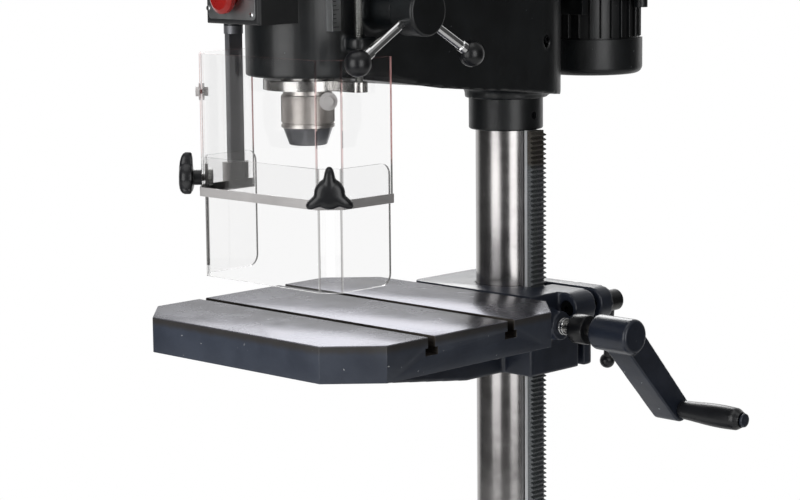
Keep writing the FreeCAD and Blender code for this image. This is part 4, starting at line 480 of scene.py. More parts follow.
# ======================= mesh drafts =======================
class Draft:
    """A mesh under construction: millimetres in the row frame, one number per finish."""

    def __init__(self) -> None:
        """Start empty."""
        self.bm = bmesh.new()

    def faces_of(self, rings: Sequence[Sequence[Vector]], look: int = 0, wrap: bool = False,
                 caps: bool = True, open_ring: bool = False) -> None:
        """Skin a row of rings that have equal counts of points.

        Args:
            rings: the rings' points in order.
            look: number of the finish.
            wrap: join the last ring to the first.
            caps: close the first and last rings with a face.
            open_ring: leave each ring's last point unjoined to its first.
        """
        made = [[self.bm.verts.new(p) for p in ring] for ring in rings]
        count = len(made[0])
        pairs = list(zip(made, made[1:])) + ([(made[-1], made[0])] if wrap else [])
        for low, high in pairs:
            for i in range(count - 1 if open_ring else count):
                j = (i + 1) % count
                self.bm.faces.new((low[i], low[j], high[j], high[i])).material_index = look
        if caps and not wrap:
            for ring in (made[0], made[-1]):
                self.bm.faces.new(ring).material_index = look

    def turned(self, profile: Profile, centre: Vector, axis: Axis | Vector = Axis.UP, look: int = 0,
               steps: int = 48) -> None:
        """Revolve a (radius, height) line about an axis; ends on the axis are closed.

        Args:
            profile: the line from one end to the other.
            centre: where height 0 lies on the axis.
            axis: direction of growing height.
            look: number of the finish.
            steps: points round the circle.
        """
        way = (axis.vector() if isinstance(axis, Axis) else Vector(axis)).normalized()
        side = way.orthogonal().normalized()
        other = way.cross(side)
        rings = [[centre + way * h + (side * math.cos(a) + other * math.sin(a)) * max(r, 0.001)
                  for a in (2 * math.pi * i / steps for i in range(steps))] for r, h in profile]
        self.faces_of(rings, look)

    def prism(self, outline: Sequence[Vector], way: Vector, look: int = 0) -> None:
        """Extrude a closed outline along a vector."""
        self.faces_of([outline, [p + way for p in outline]], look)

    def block(self, low: Sequence[float], high: Sequence[float], look: int = 0) -> None:
        """Add an upright block between two corners."""
        x0, y0, z0 = low
        x1, y1, z1 = high
        plan = [Vector((x0, y0, z0)), Vector((x1, y0, z0)), Vector((x1, y1, z0)), Vector((x0, y1, z0))]
        self.prism(plan, UP * (z1 - z0), look)

    def carried(self, node: str) -> None:
        """Add a CAD node's shape with its loose triangles merged."""
        self.bm.from_mesh(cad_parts[node].data)
        bmesh.ops.remove_doubles(self.bm, verts=self.bm.verts, dist=2e-6)
        bmesh.ops.scale(self.bm, vec=(1 / MM,) * 3, verts=self.bm.verts)

    def cut(self, other: "Draft") -> None:
        """Take another draft's solid away from this one."""
        mine, theirs = self.object("cut_body"), other.object("cut_tool")
        boolean = mine.modifiers.new("cut", "BOOLEAN")
        boolean.operation, boolean.object, boolean.solver = "DIFFERENCE", theirs, "EXACT"
        boolean.material_mode = "INDEX"
        self.bm = bmesh.new()
        self.bm.from_mesh(settled(mine))
        bmesh.ops.scale(self.bm, vec=(1 / MM,) * 3, verts=self.bm.verts)
        for used in (mine, theirs):
            bpy.data.objects.remove(used)

    def paint(self, look: int, rule: Callable[[Vector, Vector], bool]) -> None:
        """Give the finish to the faces whose centre and normal pass the rule."""
        self.bm.normal_update()
        for face in self.bm.faces:
            if rule(face.calc_center_median(), face.normal):
                face.material_index = look

    def flatten(self, degrees: float = 0.5) -> None:
        """Join coplanar faces."""
        bmesh.ops.dissolve_limit(self.bm, angle_limit=math.radians(degrees), verts=self.bm.verts,
                                 edges=self.bm.edges, delimit={"MATERIAL"})

    def object(self, name: str, outward: bool = True) -> bpy.types.Object:
        """Close the draft into an object in metres."""
        if outward:
            bmesh.ops.recalc_face_normals(self.bm, faces=self.bm.faces)
        bmesh.ops.scale(self.bm, vec=(MM, MM, MM), verts=self.bm.verts)
        mesh = bpy.data.meshes.new(name)
        self.bm.to_mesh(mesh)
        self.bm.free()
        made = bpy.data.objects.new(name, mesh)
        bpy.context.scene.collection.objects.link(made)
        return made


def settled(obj: bpy.types.Object) -> bpy.types.Mesh:
    """Return the object's mesh with its modifiers applied."""
    graph = bpy.context.evaluated_depsgraph_get()
    graph.update()
    return bpy.data.meshes.new_from_object(obj.evaluated_get(graph))


def settle(obj: bpy.types.Object) -> bpy.types.Object:
    """Apply the object's modifiers and remove them."""
    mesh = settled(obj)
    obj.modifiers.clear()
    obj.data = mesh
    return obj


def bevel(obj: bpy.types.Object, width: float, segments: int = 2, degrees: float = 32) -> bpy.types.Object:
    """Round the object's sharp edges.

    Args:
        obj: the object.
        width: bevel width in millimetres.
        segments: faces across the bevel.
        degrees: edges that turn by more than this are rounded.

    Returns:
        The object with the bevel applied.
    """
    rounding = obj.modifiers.new("edges", "BEVEL")
    rounding.width, rounding.segments = width * MM, segments
    rounding.limit_method, rounding.angle_limit = "ANGLE", math.radians(degrees)
    rounding.miter_outer = "MITER_ARC"
    return settle(obj)


def shade(obj: bpy.types.Object, degrees: float = 35) -> bpy.types.Object:
    """Shade smooth, with edges that turn more than the angle left sharp."""
    bm = bmesh.new()
    bm.from_mesh(obj.data)
    for face in bm.faces:
        face.smooth = True
    for edge in bm.edges:
        edge.smooth = len(edge.link_faces) == 2 and edge.calc_face_angle(0.0) < math.radians(degrees)
    bm.to_mesh(obj.data)
    bm.free()
    return obj


def fit(obj: bpy.types.Object, body: str, finishes: Sequence[Finish], nodes: Sequence[str] = (),
        sharp: float = 35) -> bpy.types.Object:
    """Finish a piece: materials, shading, the body it rides and the nodes it stands for.

    Args:
        obj: the piece.
        body: CAD body that it moves with.
        finishes: its finishes in the order of its face numbers.
        nodes: CAD nodes that it replaces.
        sharp: edges that turn more than this stay crisp.

    Returns:
        The piece.
    """
    if obj.data.materials:
        obj.data.materials.clear()
    for finish in finishes:
        obj.data.materials.append(finish.material())
    shade(obj, sharp)
    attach(obj, body)
    if nodes:
        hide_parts(*nodes)
    LOG.info("%s: %d faces on %s", obj.name, len(obj.data.polygons), body)
    return obj


def casting(node: str, name: str, grain: float, rounds: int) -> bpy.types.Object:
    """Rebuild a CAD node as a sand casting with soft edges and filleted corners.

    Args:
        node: the CAD node.
        name: the new piece's name.
        grain: size of the mesh's cells in millimetres.
        rounds: smoothing passes; more give wider fillets.

    Returns:
        The object, before its finishes.
    """
    draft = Draft()
    draft.carried(node)
    obj = draft.object(name, outward=False)
    remesh = obj.modifiers.new("skin", "REMESH")
    remesh.mode, remesh.voxel_size = "VOXEL", grain * MM
    soft = obj.modifiers.new("soft", "SMOOTH")
    soft.factor, soft.iterations = 0.5, rounds
    flat = obj.modifiers.new("flat", "DECIMATE")
    flat.decimate_type, flat.angle_limit = "DISSOLVE", math.radians(1.2)
    return settle(obj)


def tidy_ring(points: Iterable[Vector], radius: float, steps: int = 5) -> list[Vector]:
    """Round the corners of a closed plan outline.

    Args:
        points: the corners in order.
        radius: rounding radius in millimetres.
        steps: points on each rounded corner.

    Returns:
        The rounded outline.
    """
    corners = list(points)
    made = []
    for before, corner, after in zip(corners[-1:] + corners[:-1], corners, corners[1:] + corners[:1]):
        back, on = (before - corner).normalized(), (after - corner).normalized()
        half = back.angle(on) / 2
        reach = min(radius / math.tan(half), 0.45 * (before - corner).length, 0.45 * (after - corner).length)
        start, end = corner + back * reach, corner + on * reach
        for i in range(steps + 1):
            t = i / steps
            made.append(start * (1 - t) ** 2 + corner * 2 * t * (1 - t) + end * t ** 2)
    return made


# ======================= repeats =======================
class Repeat(Enum):
    """How a small shape is repeated."""

    RINGS = "round a circle, in stacked rows"
    LINE = "along a line"


@dataclass
class Pattern:
    """One Geometry Nodes tree that repeats a small shape and gives it a material.

    A unit shape points along +X and stands at the origin. RINGS puts it on a circle about Z, with
    rows along Z; LINE puts it along a step. The whole pattern is then turned and placed.
    """

    kind: Repeat
    tree: bpy.types.NodeTree = field(init=False)
    keys: dict[str, str] = field(init=False, default_factory=dict)

    def __post_init__(self) -> None:
        """Build the tree."""
        self.tree = bpy.data.node_groups.new("Repeat " + self.kind.value, "GeometryNodeTree")
        self.tree.is_modifier = True
        numbers = {"Count": "Int", "Rows": "Int", "Radius": "Float", "Row step": "Float", "Stagger": "Float",
                   "Start": "Vector", "Step": "Vector", "Turn": "Vector", "Place": "Vector",
                   "Finish": "Material"}
        io = self.tree.interface
        io.new_socket("Geometry", in_out="INPUT", socket_type="NodeSocketGeometry")
        for label, kind in numbers.items():
            socket = io.new_socket(label, in_out="INPUT", socket_type="NodeSocket" + kind)
            self.keys[label] = socket.identifier
        io.new_socket("Geometry", in_out="OUTPUT", socket_type="NodeSocketGeometry")
        g = Graph(self.tree)
        given = g.add("NodeGroupInput").outputs
        index = g.add("GeometryNodeInputIndex").outputs[0]
        turn: object = (0.0, 0.0, 0.0)
        if self.kind is Repeat.RINGS:
            total = g.math("MULTIPLY", given["Count"], given["Rows"])
            row = g.math("FLOOR", g.math("DIVIDE", g.math("ADD", index, 0.5), given["Count"]))
            share = g.math("DIVIDE", g.math("ADD", index, g.math("MULTIPLY", row, given["Stagger"])),
                           given["Count"])
            angle = g.math("MULTIPLY", share, 2 * math.pi)
            x = g.math("MULTIPLY", g.math("COSINE", angle), given["Radius"])
            y = g.math("MULTIPLY", g.math("SINE", angle), given["Radius"])
            z = g.math("MULTIPLY", row, given["Row step"])
            where = g.add("ShaderNodeCombineXYZ", {0: x, 1: y, 2: z}).outputs[0]
            turn = g.add("ShaderNodeCombineXYZ", {2: angle}).outputs[0]
        else:
            total = g.math("ADD", given["Count"], 0.0)
            along = g.add("ShaderNodeVectorMath", {0: given["Step"], 3: index}, operation="SCALE").outputs[0]
            where = g.add("ShaderNodeVectorMath", {0: given["Start"], 1: along}).outputs[0]
        points = g.add("GeometryNodePoints", {"Count": total, "Position": where}).outputs[0]
        copies = g.add("GeometryNodeInstanceOnPoints", {"Points": points, "Instance": given["Geometry"],
                                                        "Rotation": turn}).outputs[0]
        placed = g.add("GeometryNodeTransform", {"Geometry": copies, "Translation": given["Place"],
                                                 "Rotation": given["Turn"]}).outputs[0]
        real = g.add("GeometryNodeRealizeInstances", {0: placed}).outputs[0]
        dressed = g.add("GeometryNodeSetMaterial", {"Geometry": real, "Material": given["Finish"]}).outputs[0]
        g.add("NodeGroupOutput", {0: dressed})

    def make(self, unit: Draft, name: str, finish: Finish, **values: object) -> bpy.types.Object:
        """Repeat a unit shape into one plain mesh.

        Args:
            unit: the small shape, in millimetres at the origin.
            name: the new piece's name.
            finish: its finish.
            values: input names, with underscores for spaces; lengths in metres.

        Returns:
            The new object at the origin.
        """
        obj = unit.object(name)
        work = obj.modifiers.new("repeat", "NODES")
        work.node_group = self.tree
        settings: dict[str, object] = {"Rows": 1, "Radius": 0.0, "Row step": 0.0, "Stagger": 0.0}
        settings.update({key.replace("_", " "): value for key, value in values.items()})
        for label, value in settings.items():
            work[self.keys[label]] = value
        work[self.keys["Finish"]] = finish.material()
        return settle(obj)


# ======================= this machine's finishes =======================
NAVY = Paint("Navy enamel", tint("2c3342"), tint("222835"), 0.34, bare=tint("c4c8cd"), chip_share=0.008)
# the table's navy is the castings' navy painted lighter, as painted light for the table's lit sides; its
# heavier wear, chips and bare band under the top are real
LIT_TABLE_PAINT = Paint("Navy enamel painted lighter as lit, on table", tint("424957"), tint("373d4a"), 0.42, bare=tint("d5d8dc"),
                    wear=0.42, chip_share=0.02, bare_top=0.85, bare_depth=0.010)
DARK = Paint("Blue-black enamel", tint("0c1317"), tint("070b0e"), 0.4, bare=tint("6d7478"), wear=0.16,
             chip_share=0.004)
TOP = Steel("Ground table top", tint("87878e"), tint("6d6d74"), 0.22, (40.0, 700.0, 900.0),
            0.000012, stain=0.1, stain_colour=tint("5f5a57"), metallic=0.75, low_glare=0.42)
# bare milled iron inside the T-slots with a brown tone, painted much darker than the ground top as painted
# shade of the recess
SHADED_SLOTS = Steel("Milled slots painted dark as shaded", tint("55504b"), tint("2b2826"), 0.45, (40.0, 900.0, 900.0), 0.00003)
COLUMN = Steel("Ground column", tint("b5b3b2"), tint("8f8c8c"), 0.2, (1500.0, 1500.0, 7.0),
               0.000006, stain=0.1, stain_colour=tint("55504d"))
RACK = RackSteel("Rack bar", tint("e3e5e7"), tint("46494c"), 0.3, depth=0.0002, step_x=0.0482, grease_z=1.012,
                 stain_colour=tint("4a3c22"))
SATIN = Steel("Satin chuck sleeve", tint("dcd7d4"), tint("b5b0ab"), 0.33, (300.0, 300.0, 1400.0), 0.00002)
NOSE = Steel("Hardened chuck nose", tint("a2a3a7"), tint("74757a"), 0.3, (900.0, 900.0, 60.0), 0.00001)
BRIGHT = Steel("Bright turned steel", tint("c6c5c3"), tint("9d9b99"), 0.2, (300.0, 300.0, 900.0), 0.00001)
CHROME = Steel("Chrome plate", tint("e2e2e2"), tint("cfcfcf"), 0.07, (90.0, 90.0, 90.0), 0.000004)
OXIDE = Steel("Black oxide", tint("2a2b2e"), tint("141517"), 0.36, (200.0, 200.0, 200.0), wear=0.2,
              metallic=0.8)
ZINC = Steel("Zinc plate", tint("a5a6a4"), tint("7f807c"), 0.33, (120.0, 120.0, 120.0), wear=0.1)
BAR = Steel("Plated flat bar", tint("86878b"), tint("6f7074"), 0.42, (500.0, 500.0, 12.0), metallic=0.7)
CHANNEL = Steel("Anodised channel", tint("dedbda"), tint("c9c6c5"), 0.38, (30.0, 30.0, 800.0), metallic=0.15)
ALLOY = Steel("Cast alloy", tint("b5b6b6"), tint("8e8f90"), 0.4, (150.0, 150.0, 700.0), 0.00006)
BLACK = Moulding("Black phenolic", tint("1b1c20"), tint("101114"), 0.3)
MATT = Moulding("Black textured plastic", tint("232427"), tint("18191b"), 0.55, grain=0.00012)
SMOKE = Moulding("Pale clamp block", tint("d8d3d1"), tint("c2bdbb"), 0.4)
RUBBER = Moulding("Belt rubber", tint("1f1e1d"), tint("121211"), 0.7, grain=0.00015, sheen=0.1)
GREEN = Moulding("Green button", tint("1d8a43"), tint("16703a"), 0.28)
RED = Moulding("Red button", tint("b8201c"), tint("961815"), 0.28)
PLATE = Steel("Brushed face plate", tint("b9bbbc"), tint("9c9e9f"), 0.34, (8.0, 500.0, 900.0))
INK = Moulding("Black scale ink", tint("101010"), tint("080808"), 0.5)
FLOOR = Moulding("Pale studio floor", tint("f2f2f1"), tint("eeeeed"), 0.6, wear=0.0)


def mm_box(node: str) -> tuple[Vector, Vector]:
    """Return a CAD node's lowest and highest corners in millimetres."""
    low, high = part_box(node)
    return low / MM, high / MM


def plan_hull(r0: float, y0: float, r1: float, y1: float, inset: float, steps: int = 28) -> list[Vector]:
    """Points on the taut outline round two circles on X 0, pulled in by an inset.

    Args:
        r0: front circle's radius.
        y0: front circle's centre.
        r1: rear circle's radius.
        y1: rear circle's centre.
        inset: how far inside the outline.
        steps: points on each round end.

    Returns:
        The outline at height 0.
    """
    tilt = math.asin((r0 - r1) / (y1 - y0))
    made = []
    for radius, centre, start in ((r0, y0, math.pi - tilt), (r1, y1, tilt)):
        sweep = math.pi + 2 * tilt if start > 1 else math.pi - 2 * tilt
        for i in range(steps):
            a = start + sweep * i / (steps - 1)
            made.append(Vector(((radius - inset) * math.cos(a), centre + (radius - inset) * math.sin(a), 0)))
    return made


# ======================= sub-assemblies =======================
@dataclass
class Stand:
    """Base, foot, column and collar."""

    column_r: float = 40.0
    bore_r: float = 34.0
    base_h: float = 62.0
    pad_half_w: float = 175.0
    bolt_circle: float = 69.0
    bolt_across: float = 9.0
    flange_h: float = 20.0
    column_steps: int = 144

    def build(self, rings: Pattern) -> None:
        """Make and dress every piece of the stand."""
        self.base()
        fit(casting("column_foot", "foot_casting", 1.8, 4), "stand", [NAVY], ["column_foot"], 50)
        self.column()
        self.bolts(rings)

    def base(self) -> None:
        """Cast base with a machined pad."""
        obj = casting("base", "base_casting", 2.6, 3)
        draft = Draft()
        draft.bm.from_mesh(obj.data)
        bpy.data.objects.remove(obj)
        top, half = self.base_h * MM, self.pad_half_w * MM
        draft.paint(1, lambda c, n: n.z > 0.97 and c.z > top - 0.0004)
        # the base's slot walls take the finish painted dark as shade of the recess
        draft.paint(2, lambda c, n: abs(abs(c.x) - 0.07) < 0.012 and 0.036 < c.z < top - 0.001
                    and abs(c.x) < half)
        bmesh.ops.scale(draft.bm, vec=(1 / MM,) * 3, verts=draft.bm.verts)
        fit(draft.object("base_casting", outward=False), "stand", [NAVY, TOP, SHADED_SLOTS], ["base"], 50)

    def column(self) -> None:
        """Ground tube with chamfered ends."""
        low, high = mm_box("column")
        draft = Draft()
        r, b = self.column_r, self.bore_r
        line = [(b, low.z), (b, high.z - 1), (b + 1, high.z), (r - 1, high.z), (r, high.z - 1), (r, low.z)]
        rings = [[Vector((radius * math.cos(a), radius * math.sin(a), h))
                  for a in (2 * math.pi * i / self.column_steps for i in range(self.column_steps))]
                 for radius, h in line]
        draft.faces_of(rings, wrap=True)
        fit(draft.object("column_tube"), "stand", [COLUMN], ["column"])

    def bolts(self, rings: Pattern) -> None:
        """Hexagon bolts with washers round the foot's flange."""
        low, high = mm_box("column_foot")
        flange = low.z + self.flange_h
        unit = Draft()
        unit.turned([(0, 0), (11.5, 0), (11.5, 2.1), (11.1, 2.5), (0, 2.5)], Vector(), steps=32)
        corner = self.bolt_across / math.cos(math.radians(30))
        turns = [math.radians(60 * i) for i in range(6)]
        hexagon = [Vector((corner * math.cos(a), corner * math.sin(a), 2.5)) for a in turns]
        unit.prism(hexagon, UP * 7.2)
        unit.turned([(8.6, 9.6), (7.6, 10.5), (0, 10.5)], Vector(), steps=32)
        obj = rings.make(unit, "foot_bolts", ZINC, Count=4, Radius=self.bolt_circle * MM,
                         Turn=(0.0, 0.0, math.radians(45)), Place=(0.0, 0.0, flange * MM))
        fit(obj, "stand", [ZINC])


@dataclass
class Table:
    """Slotted table on its cast bracket."""

    slot_pitch: float = 140.0
    centre_y: float = -290.0
    plate_h: float = 44.0
    arm_root: float = 140.0
    arm_reach: float = 347.0
    arm_thinned: float = 14.0
    arm_depth: float = 46.0

    def build(self) -> None:
        """Make and dress table and bracket."""
        low, high = mm_box("table")
        top = high.z
        draft = Draft()
        draft.carried("table")
        draft.flatten()
        slots = (self.centre_y - self.slot_pitch / 2, self.centre_y + self.slot_pitch / 2)
        # the table's slot walls take the finish painted dark as shade of the recess
        draft.paint(2, lambda c, n: top - 24 < c.z < top - 0.2 and min(abs(c.y - s) for s in slots) < 11
                    and abs(n.x) < 0.5)
        draft.paint(1, lambda c, n: n.z > 0.5 and c.z > top - 1.2)
        obj = bevel(draft.object("table_plate", outward=False), 0.45, 2, 40)
        fit(obj, "table_carriage", [LIT_TABLE_PAINT, TOP, SHADED_SLOTS], ["table"], 30)
        bracket = casting("table_bracket", "bracket_casting", 2.0, 5)
        under = (top - self.plate_h) * MM
        for vert in bracket.data.vertices:
            along = (-vert.co.y / MM - self.arm_root) / (self.arm_reach - self.arm_root)
            below = (under - vert.co.z) / MM / self.arm_depth
            vert.co.z += self.arm_thinned * MM * min(1.0, max(0.0, along)) * min(1.0, max(0.0, below))
        fit(bracket, "table_carriage", [NAVY], ["table_bracket"], 50)


@dataclass
class Crank:
    """Crank with its spacers and grip."""

    collar_l: float = 24.0

    def build(self) -> None:
        """Make and dress the crank's pieces."""
        arm = casting("crank_arm", "crank_casting", 1.2, 5)
        fit(arm, "crank", [NAVY], ["crank_arm"], 50)
        self.spacers()
        self.grip()

    def spacers(self) -> None:
        """Bright thrust washer and black collar on the shaft."""
        low, high = mm_box("crank_spacers")
        centre = Vector((0, (low.y + high.y) / 2, (low.z + high.z) / 2))
        draft = Draft()
        x = low.x
        washer = [(8.1, x), (10.4, x), (11, x + 0.7), (11, x + 2.9), (10.2, x + 3.4), (10.2, x + 4.6),
                  (11, x + 5.1), (11, x + 7.4), (10.4, x + 8), (8.1, x + 8)]
        draft.turned(washer, centre, Axis.RIGHT)
        r = (high.y - low.y) / 2
        c0, c1 = high.x - self.collar_l, high.x
        collar = [(8.1, c0), (r - 2.5, c0), (r - 0.7, c0 + 0.7), (r, c0 + 2.5), (r, c1 - 2.5),
                  (r - 0.7, c1 - 0.7), (r - 2.5, c1), (8.1, c1)]
        draft.turned(collar, centre, Axis.RIGHT, 1, 64)
        fit(draft.object("crank_spacer_rings"), "crank", [CHROME, BLACK], ["crank_spacers"])

    def grip(self) -> None:
        """Turned handle with a waist and moulded rings."""
        low, high = mm_box("crank_grip")
        centre = Vector((low.x, (low.y + high.y) / 2, (low.z + high.z) / 2))
        r, length = (high.y - low.y) / 2, high.x - low.x
        line = [(6.1, 0), (10.4, 0), (11.2, 0.8), (11.4, 5)]
        for i in range(21):
            t = i / 20
            bulge = 12.2 + (r - 12.2) * math.sin(math.pi * min(1.0, t * 0.72)) ** 1.4
            line.append((bulge, 6 + t * (length - 14)))
        line += [(r - 2.2, length - 5), (r - 4.5, length - 1.6), (10, length), (6.1, length)]
        draft = Draft()
        draft.turned(line, centre, Axis.RIGHT, 0, 56)
        fit(draft.object("crank_handle"), "crank_grip", [BLACK], ["crank_grip"])


@dataclass
class Head:
    """Head casting with switch box, depth stop and scale."""

    rod_r: float = 5.0
    thread_pitch: float = 2.0
    tick_step: float = 5.0
    belly_drop: float = 18.0
    belly_front: float = 300.0
    belly_back: float = 257.0
    belly_top: float = 330.0
    belly_blend: float = 40.0
    nut_lifts: tuple[float, float] = (0.0, 9.5)

    def build(self, rings: Pattern, line: Pattern) -> None:
        """Make and dress the head's pieces."""
        shell = casting("head", "head_casting", 2.5, 4)
        over = mm_box("table")[1].z + self.belly_top
        for vert in shell.data.vertices:
            along = (self.belly_front + vert.co.y / MM) / (self.belly_front - self.belly_back)
            below = (over - vert.co.z / MM) / self.belly_blend
            vert.co.z -= self.belly_drop * MM * min(1.0, max(0.0, along)) * min(1.0, max(0.0, below))
        fit(shell, "stand", [DARK], ["head"], 50)
        self.depth_stop(rings)
        self.scale(line)
        self.switch(rings)

    def depth_stop(self, rings: Pattern) -> None:
        """Threaded rod with two knurled nuts."""
        low, high = mm_box("depth_stop")
        x, y = 88.0, (low.y + high.y) / 2
        draft = Draft()
        profile, z = [(0, low.z), (self.rod_r - 0.5, low.z)], low.z + 0.5
        while z < high.z - self.thread_pitch:
            profile += [(self.rod_r - 0.6, z), (self.rod_r, z + self.thread_pitch / 2)]
            z += self.thread_pitch
        profile += [(self.rod_r - 0.6, high.z - 0.6), (0, high.z)]
        draft.turned(profile, Vector((x, y, 0)), steps=20)
        nuts = low.z + 185.0
        for lift in self.nut_lifts:
            z0 = nuts + lift
            nut = [(5, z0), (8.8, z0), (9.6, z0 + 0.8), (9.6, z0 + 7.7), (8.8, z0 + 8.5), (5, z0 + 8.5)]
            draft.turned(nut, Vector((x, y, 0)), look=1, steps=40)
        fit(draft.object("depth_rod"), "quill", [ZINC, BRIGHT], ["depth_stop"])
        tooth = Draft()
        tooth.block((0, -0.35, 0.9), (0.4, 0.35, 7.6))
        for number, lift in enumerate(self.nut_lifts):
            obj = rings.make(tooth_copy(tooth), "nut_knurl_%d" % (number + 1), BRIGHT, Count=36,
                             Radius=9.6 * MM, Place=(x * MM, y * MM, (nuts + lift) * MM))
            fit(obj, "quill", [BRIGHT])
        tooth.bm.free()

    def scale(self, line: Pattern) -> None:
        """Engraved strip with long and short marks."""
        low, high = mm_box("depth_scale")
        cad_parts["depth_scale"].data.materials.clear()
        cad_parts["depth_scale"].data.materials.append(PLATE.material())
        count = int((high.z - low.z - 8) / self.tick_step)
        for name, every, length in (("short_marks", 1, 5.0), ("long_marks", 4, 9.0)):
            mark = Draft()
            mark.block((-0.05, 0, -0.35), (0.12, length, 0.35))
            obj = line.make(mark, "scale_" + name, INK, Count=count // every,
                            Start=(high.x * MM, (low.y + 1.5) * MM, (low.z + 5) * MM),
                            Step=(0.0, 0.0, self.tick_step * every * MM))
            fit(obj, "stand", [INK])

    def switch(self, rings: Pattern) -> None:
        """Switch box with a brushed face plate and corner screws."""
        low, high = mm_box("switch_box")
        draft = Draft()
        draft.carried("switch_box")
        fit(draft.object("switch_housing", outward=False), "stand", [MATT], ["switch_box"], 25)
        inset, face = 6.0, low.y
        x0, x1, z0, z1 = low.x + inset, high.x - inset, low.z + inset, high.z - inset
        corners = [Vector((x, face - 0.8, z)) for x, z in ((x0, z0), (x1, z0), (x1, z1), (x0, z1))]
        plate = Draft()
        plate.prism(tidy_ring(corners, 5), Vector((0, 1.0, 0)))
        for x, dz, radius in ((-22.0, 78.0, 12.5), (22.0, 78.0, 12.5), (0.0, 32.0, 11.0)):
            hole = Draft()
            bore = [(0, -3), (radius, -3), (radius, 3), (0, 3)]
            hole.turned(bore, Vector((x, face, low.z + dz)), Axis.REAR)
            plate.cut(hole)
        fit(plate.object("switch_face_plate"), "stand", [PLATE])
        for x, dz, radius in ((-22.0, 78.0, 12.4), (22.0, 78.0, 12.4)):
            collar = Draft()
            profile = [(11.7, 0), (radius, 0), (radius + 1.4, 0.9), (radius + 1.2, 2.2), (11.7, 2.2)]
            collar.turned(profile, Vector((x, face - 0.2, low.z + dz)), Axis.FRONT)
            name = "start_ring" if x < 0 else "stop_ring"
            fit(collar.object(name), "stand", [CHROME])
        screw = Draft()
        screw.turned([(0, 0), (3.2, 0), (3.0, 1.0), (1.8, 1.5), (0, 1.5)], Vector(), Axis.UP, steps=20)
        obj = rings.make(screw, "plate_screws", CHROME, Count=4, Radius=math.hypot(34, 40) * MM,
                         Turn=(math.pi / 2, math.atan2(40, 34), 0.0),
                         Place=((low.x + high.x) / 2 * MM, (face - 0.8) * MM, (low.z + high.z) / 2 * MM))
        fit(obj, "stand", [CHROME])


def tooth_copy(draft: Draft) -> Draft:
    """Return a second draft with the same mesh."""
    twin = Draft()
    twin.bm = draft.bm.copy()
    return twin


@dataclass
class Chuck:
    """Keyless chuck: turned sleeve with a knurled grip."""

    nose_h: float = 21.0
    nose_r: float = 23.1
    band_h: float = 5.0
    knurl_height: float = 0.4
    knurl_count: int = 118
    knurl_step: float = 1.5

    def build(self, rings: Pattern) -> None:
        """Make and dress the sleeve."""
        low, high = mm_box("chuck_sleeve")
        centre = Vector((0, (low.y + high.y) / 2, 0))
        r, z = (high.y - low.y) / 2, low.z
        band, grip, top = z + self.nose_h, z + self.nose_h + self.band_h + 1.6, high.z
        skin = r - self.knurl_height
        nose = Draft()
        cone = [(21.2, z + 8), (14.6, z + 8), (14, z + 7.4), (14, z + 0.6), (14.6, z), (self.nose_r - 1, z),
                (self.nose_r, z + 0.8), (r - 2.3, band - 0.5), (r - 1.9, band)]
        nose.turned(cone, centre, look=0, steps=96)
        edge = band + self.band_h
        body = [(21.2, band), (r - 0.6, band), (r, band + 0.5), (r, edge - 1.2), (r - 0.4, edge - 0.8),
                (r - 1.3, edge - 0.7), (r - 1.3, edge + 0.5), (skin, grip - 0.3), (skin, top - 1.2),
                (r - 1, top), (21.2, top)]
        nose.turned(body, centre, look=1, steps=128)
        fit(nose.object("chuck_shell"), "chuck_sleeve", [NOSE, SATIN], ["chuck_sleeve"], 28)
        unit = Draft()
        w, h, d = math.pi * skin / self.knurl_count, self.knurl_step / 2, self.knurl_height
        base, tip = ([Vector((x, -across, 0)), Vector((x, 0, -tall)), Vector((x, across, 0)),
                      Vector((x, 0, tall))] for x, across, tall in ((-0.15, w, h), (d, 0.2, 0.2)))
        unit.faces_of([base, tip])
        rows = int((top - 1.6 - grip) / h)
        obj = rings.make(unit, "chuck_knurl", SATIN, Count=self.knurl_count, Rows=rows, Radius=skin * MM,
                         Row_step=h * MM, Stagger=0.5, Place=(0.0, centre.y * MM, (grip + 0.6) * MM))
        fit(obj, "chuck_sleeve", [SATIN], sharp=10)


@dataclass
class Feed:
    """Three spokes with ball knobs on a turned hub."""

    length: float = 112.0
    ball_r: float = 16.0
    spoke_r: float = 5.9
    root: float = 13.0

    def build(self) -> None:
        """Make and dress spokes and balls."""
        hub_low, hub_high = mm_box("feed_hub")
        low, high = mm_box("feed_handles")
        x = (low.x + high.x) / 2
        centre = Vector((x, (hub_low.y + hub_high.y) / 2, (hub_low.z + hub_high.z) / 2))
        draft = Draft()
        ball = [(0.0, 0.0)]
        for degrees in range(160, -1, -10):
            a = math.radians(degrees)
            ball.append((self.ball_r * math.sin(a), self.length + self.ball_r * math.cos(a)))
        ball[0] = (0.0, ball[1][1])
        for degrees in (90, 210, 330):
            a = math.radians(degrees)
            way = Vector((0, math.cos(a), math.sin(a)))
            end = self.length - self.ball_r
            r, ferrule = self.spoke_r, self.spoke_r + 1.6
            spoke = [(0, self.root), (r, self.root), (r, end - 8), (ferrule, end - 7), (ferrule, end + 1),
                     (0, end + 1)]
            draft.turned(spoke, centre, way, 0, 32)
            draft.turned(ball, centre, way, 1, 48)
        fit(draft.object("feed_spokes"), "feed", [CHROME, BLACK], ["feed_handles"])


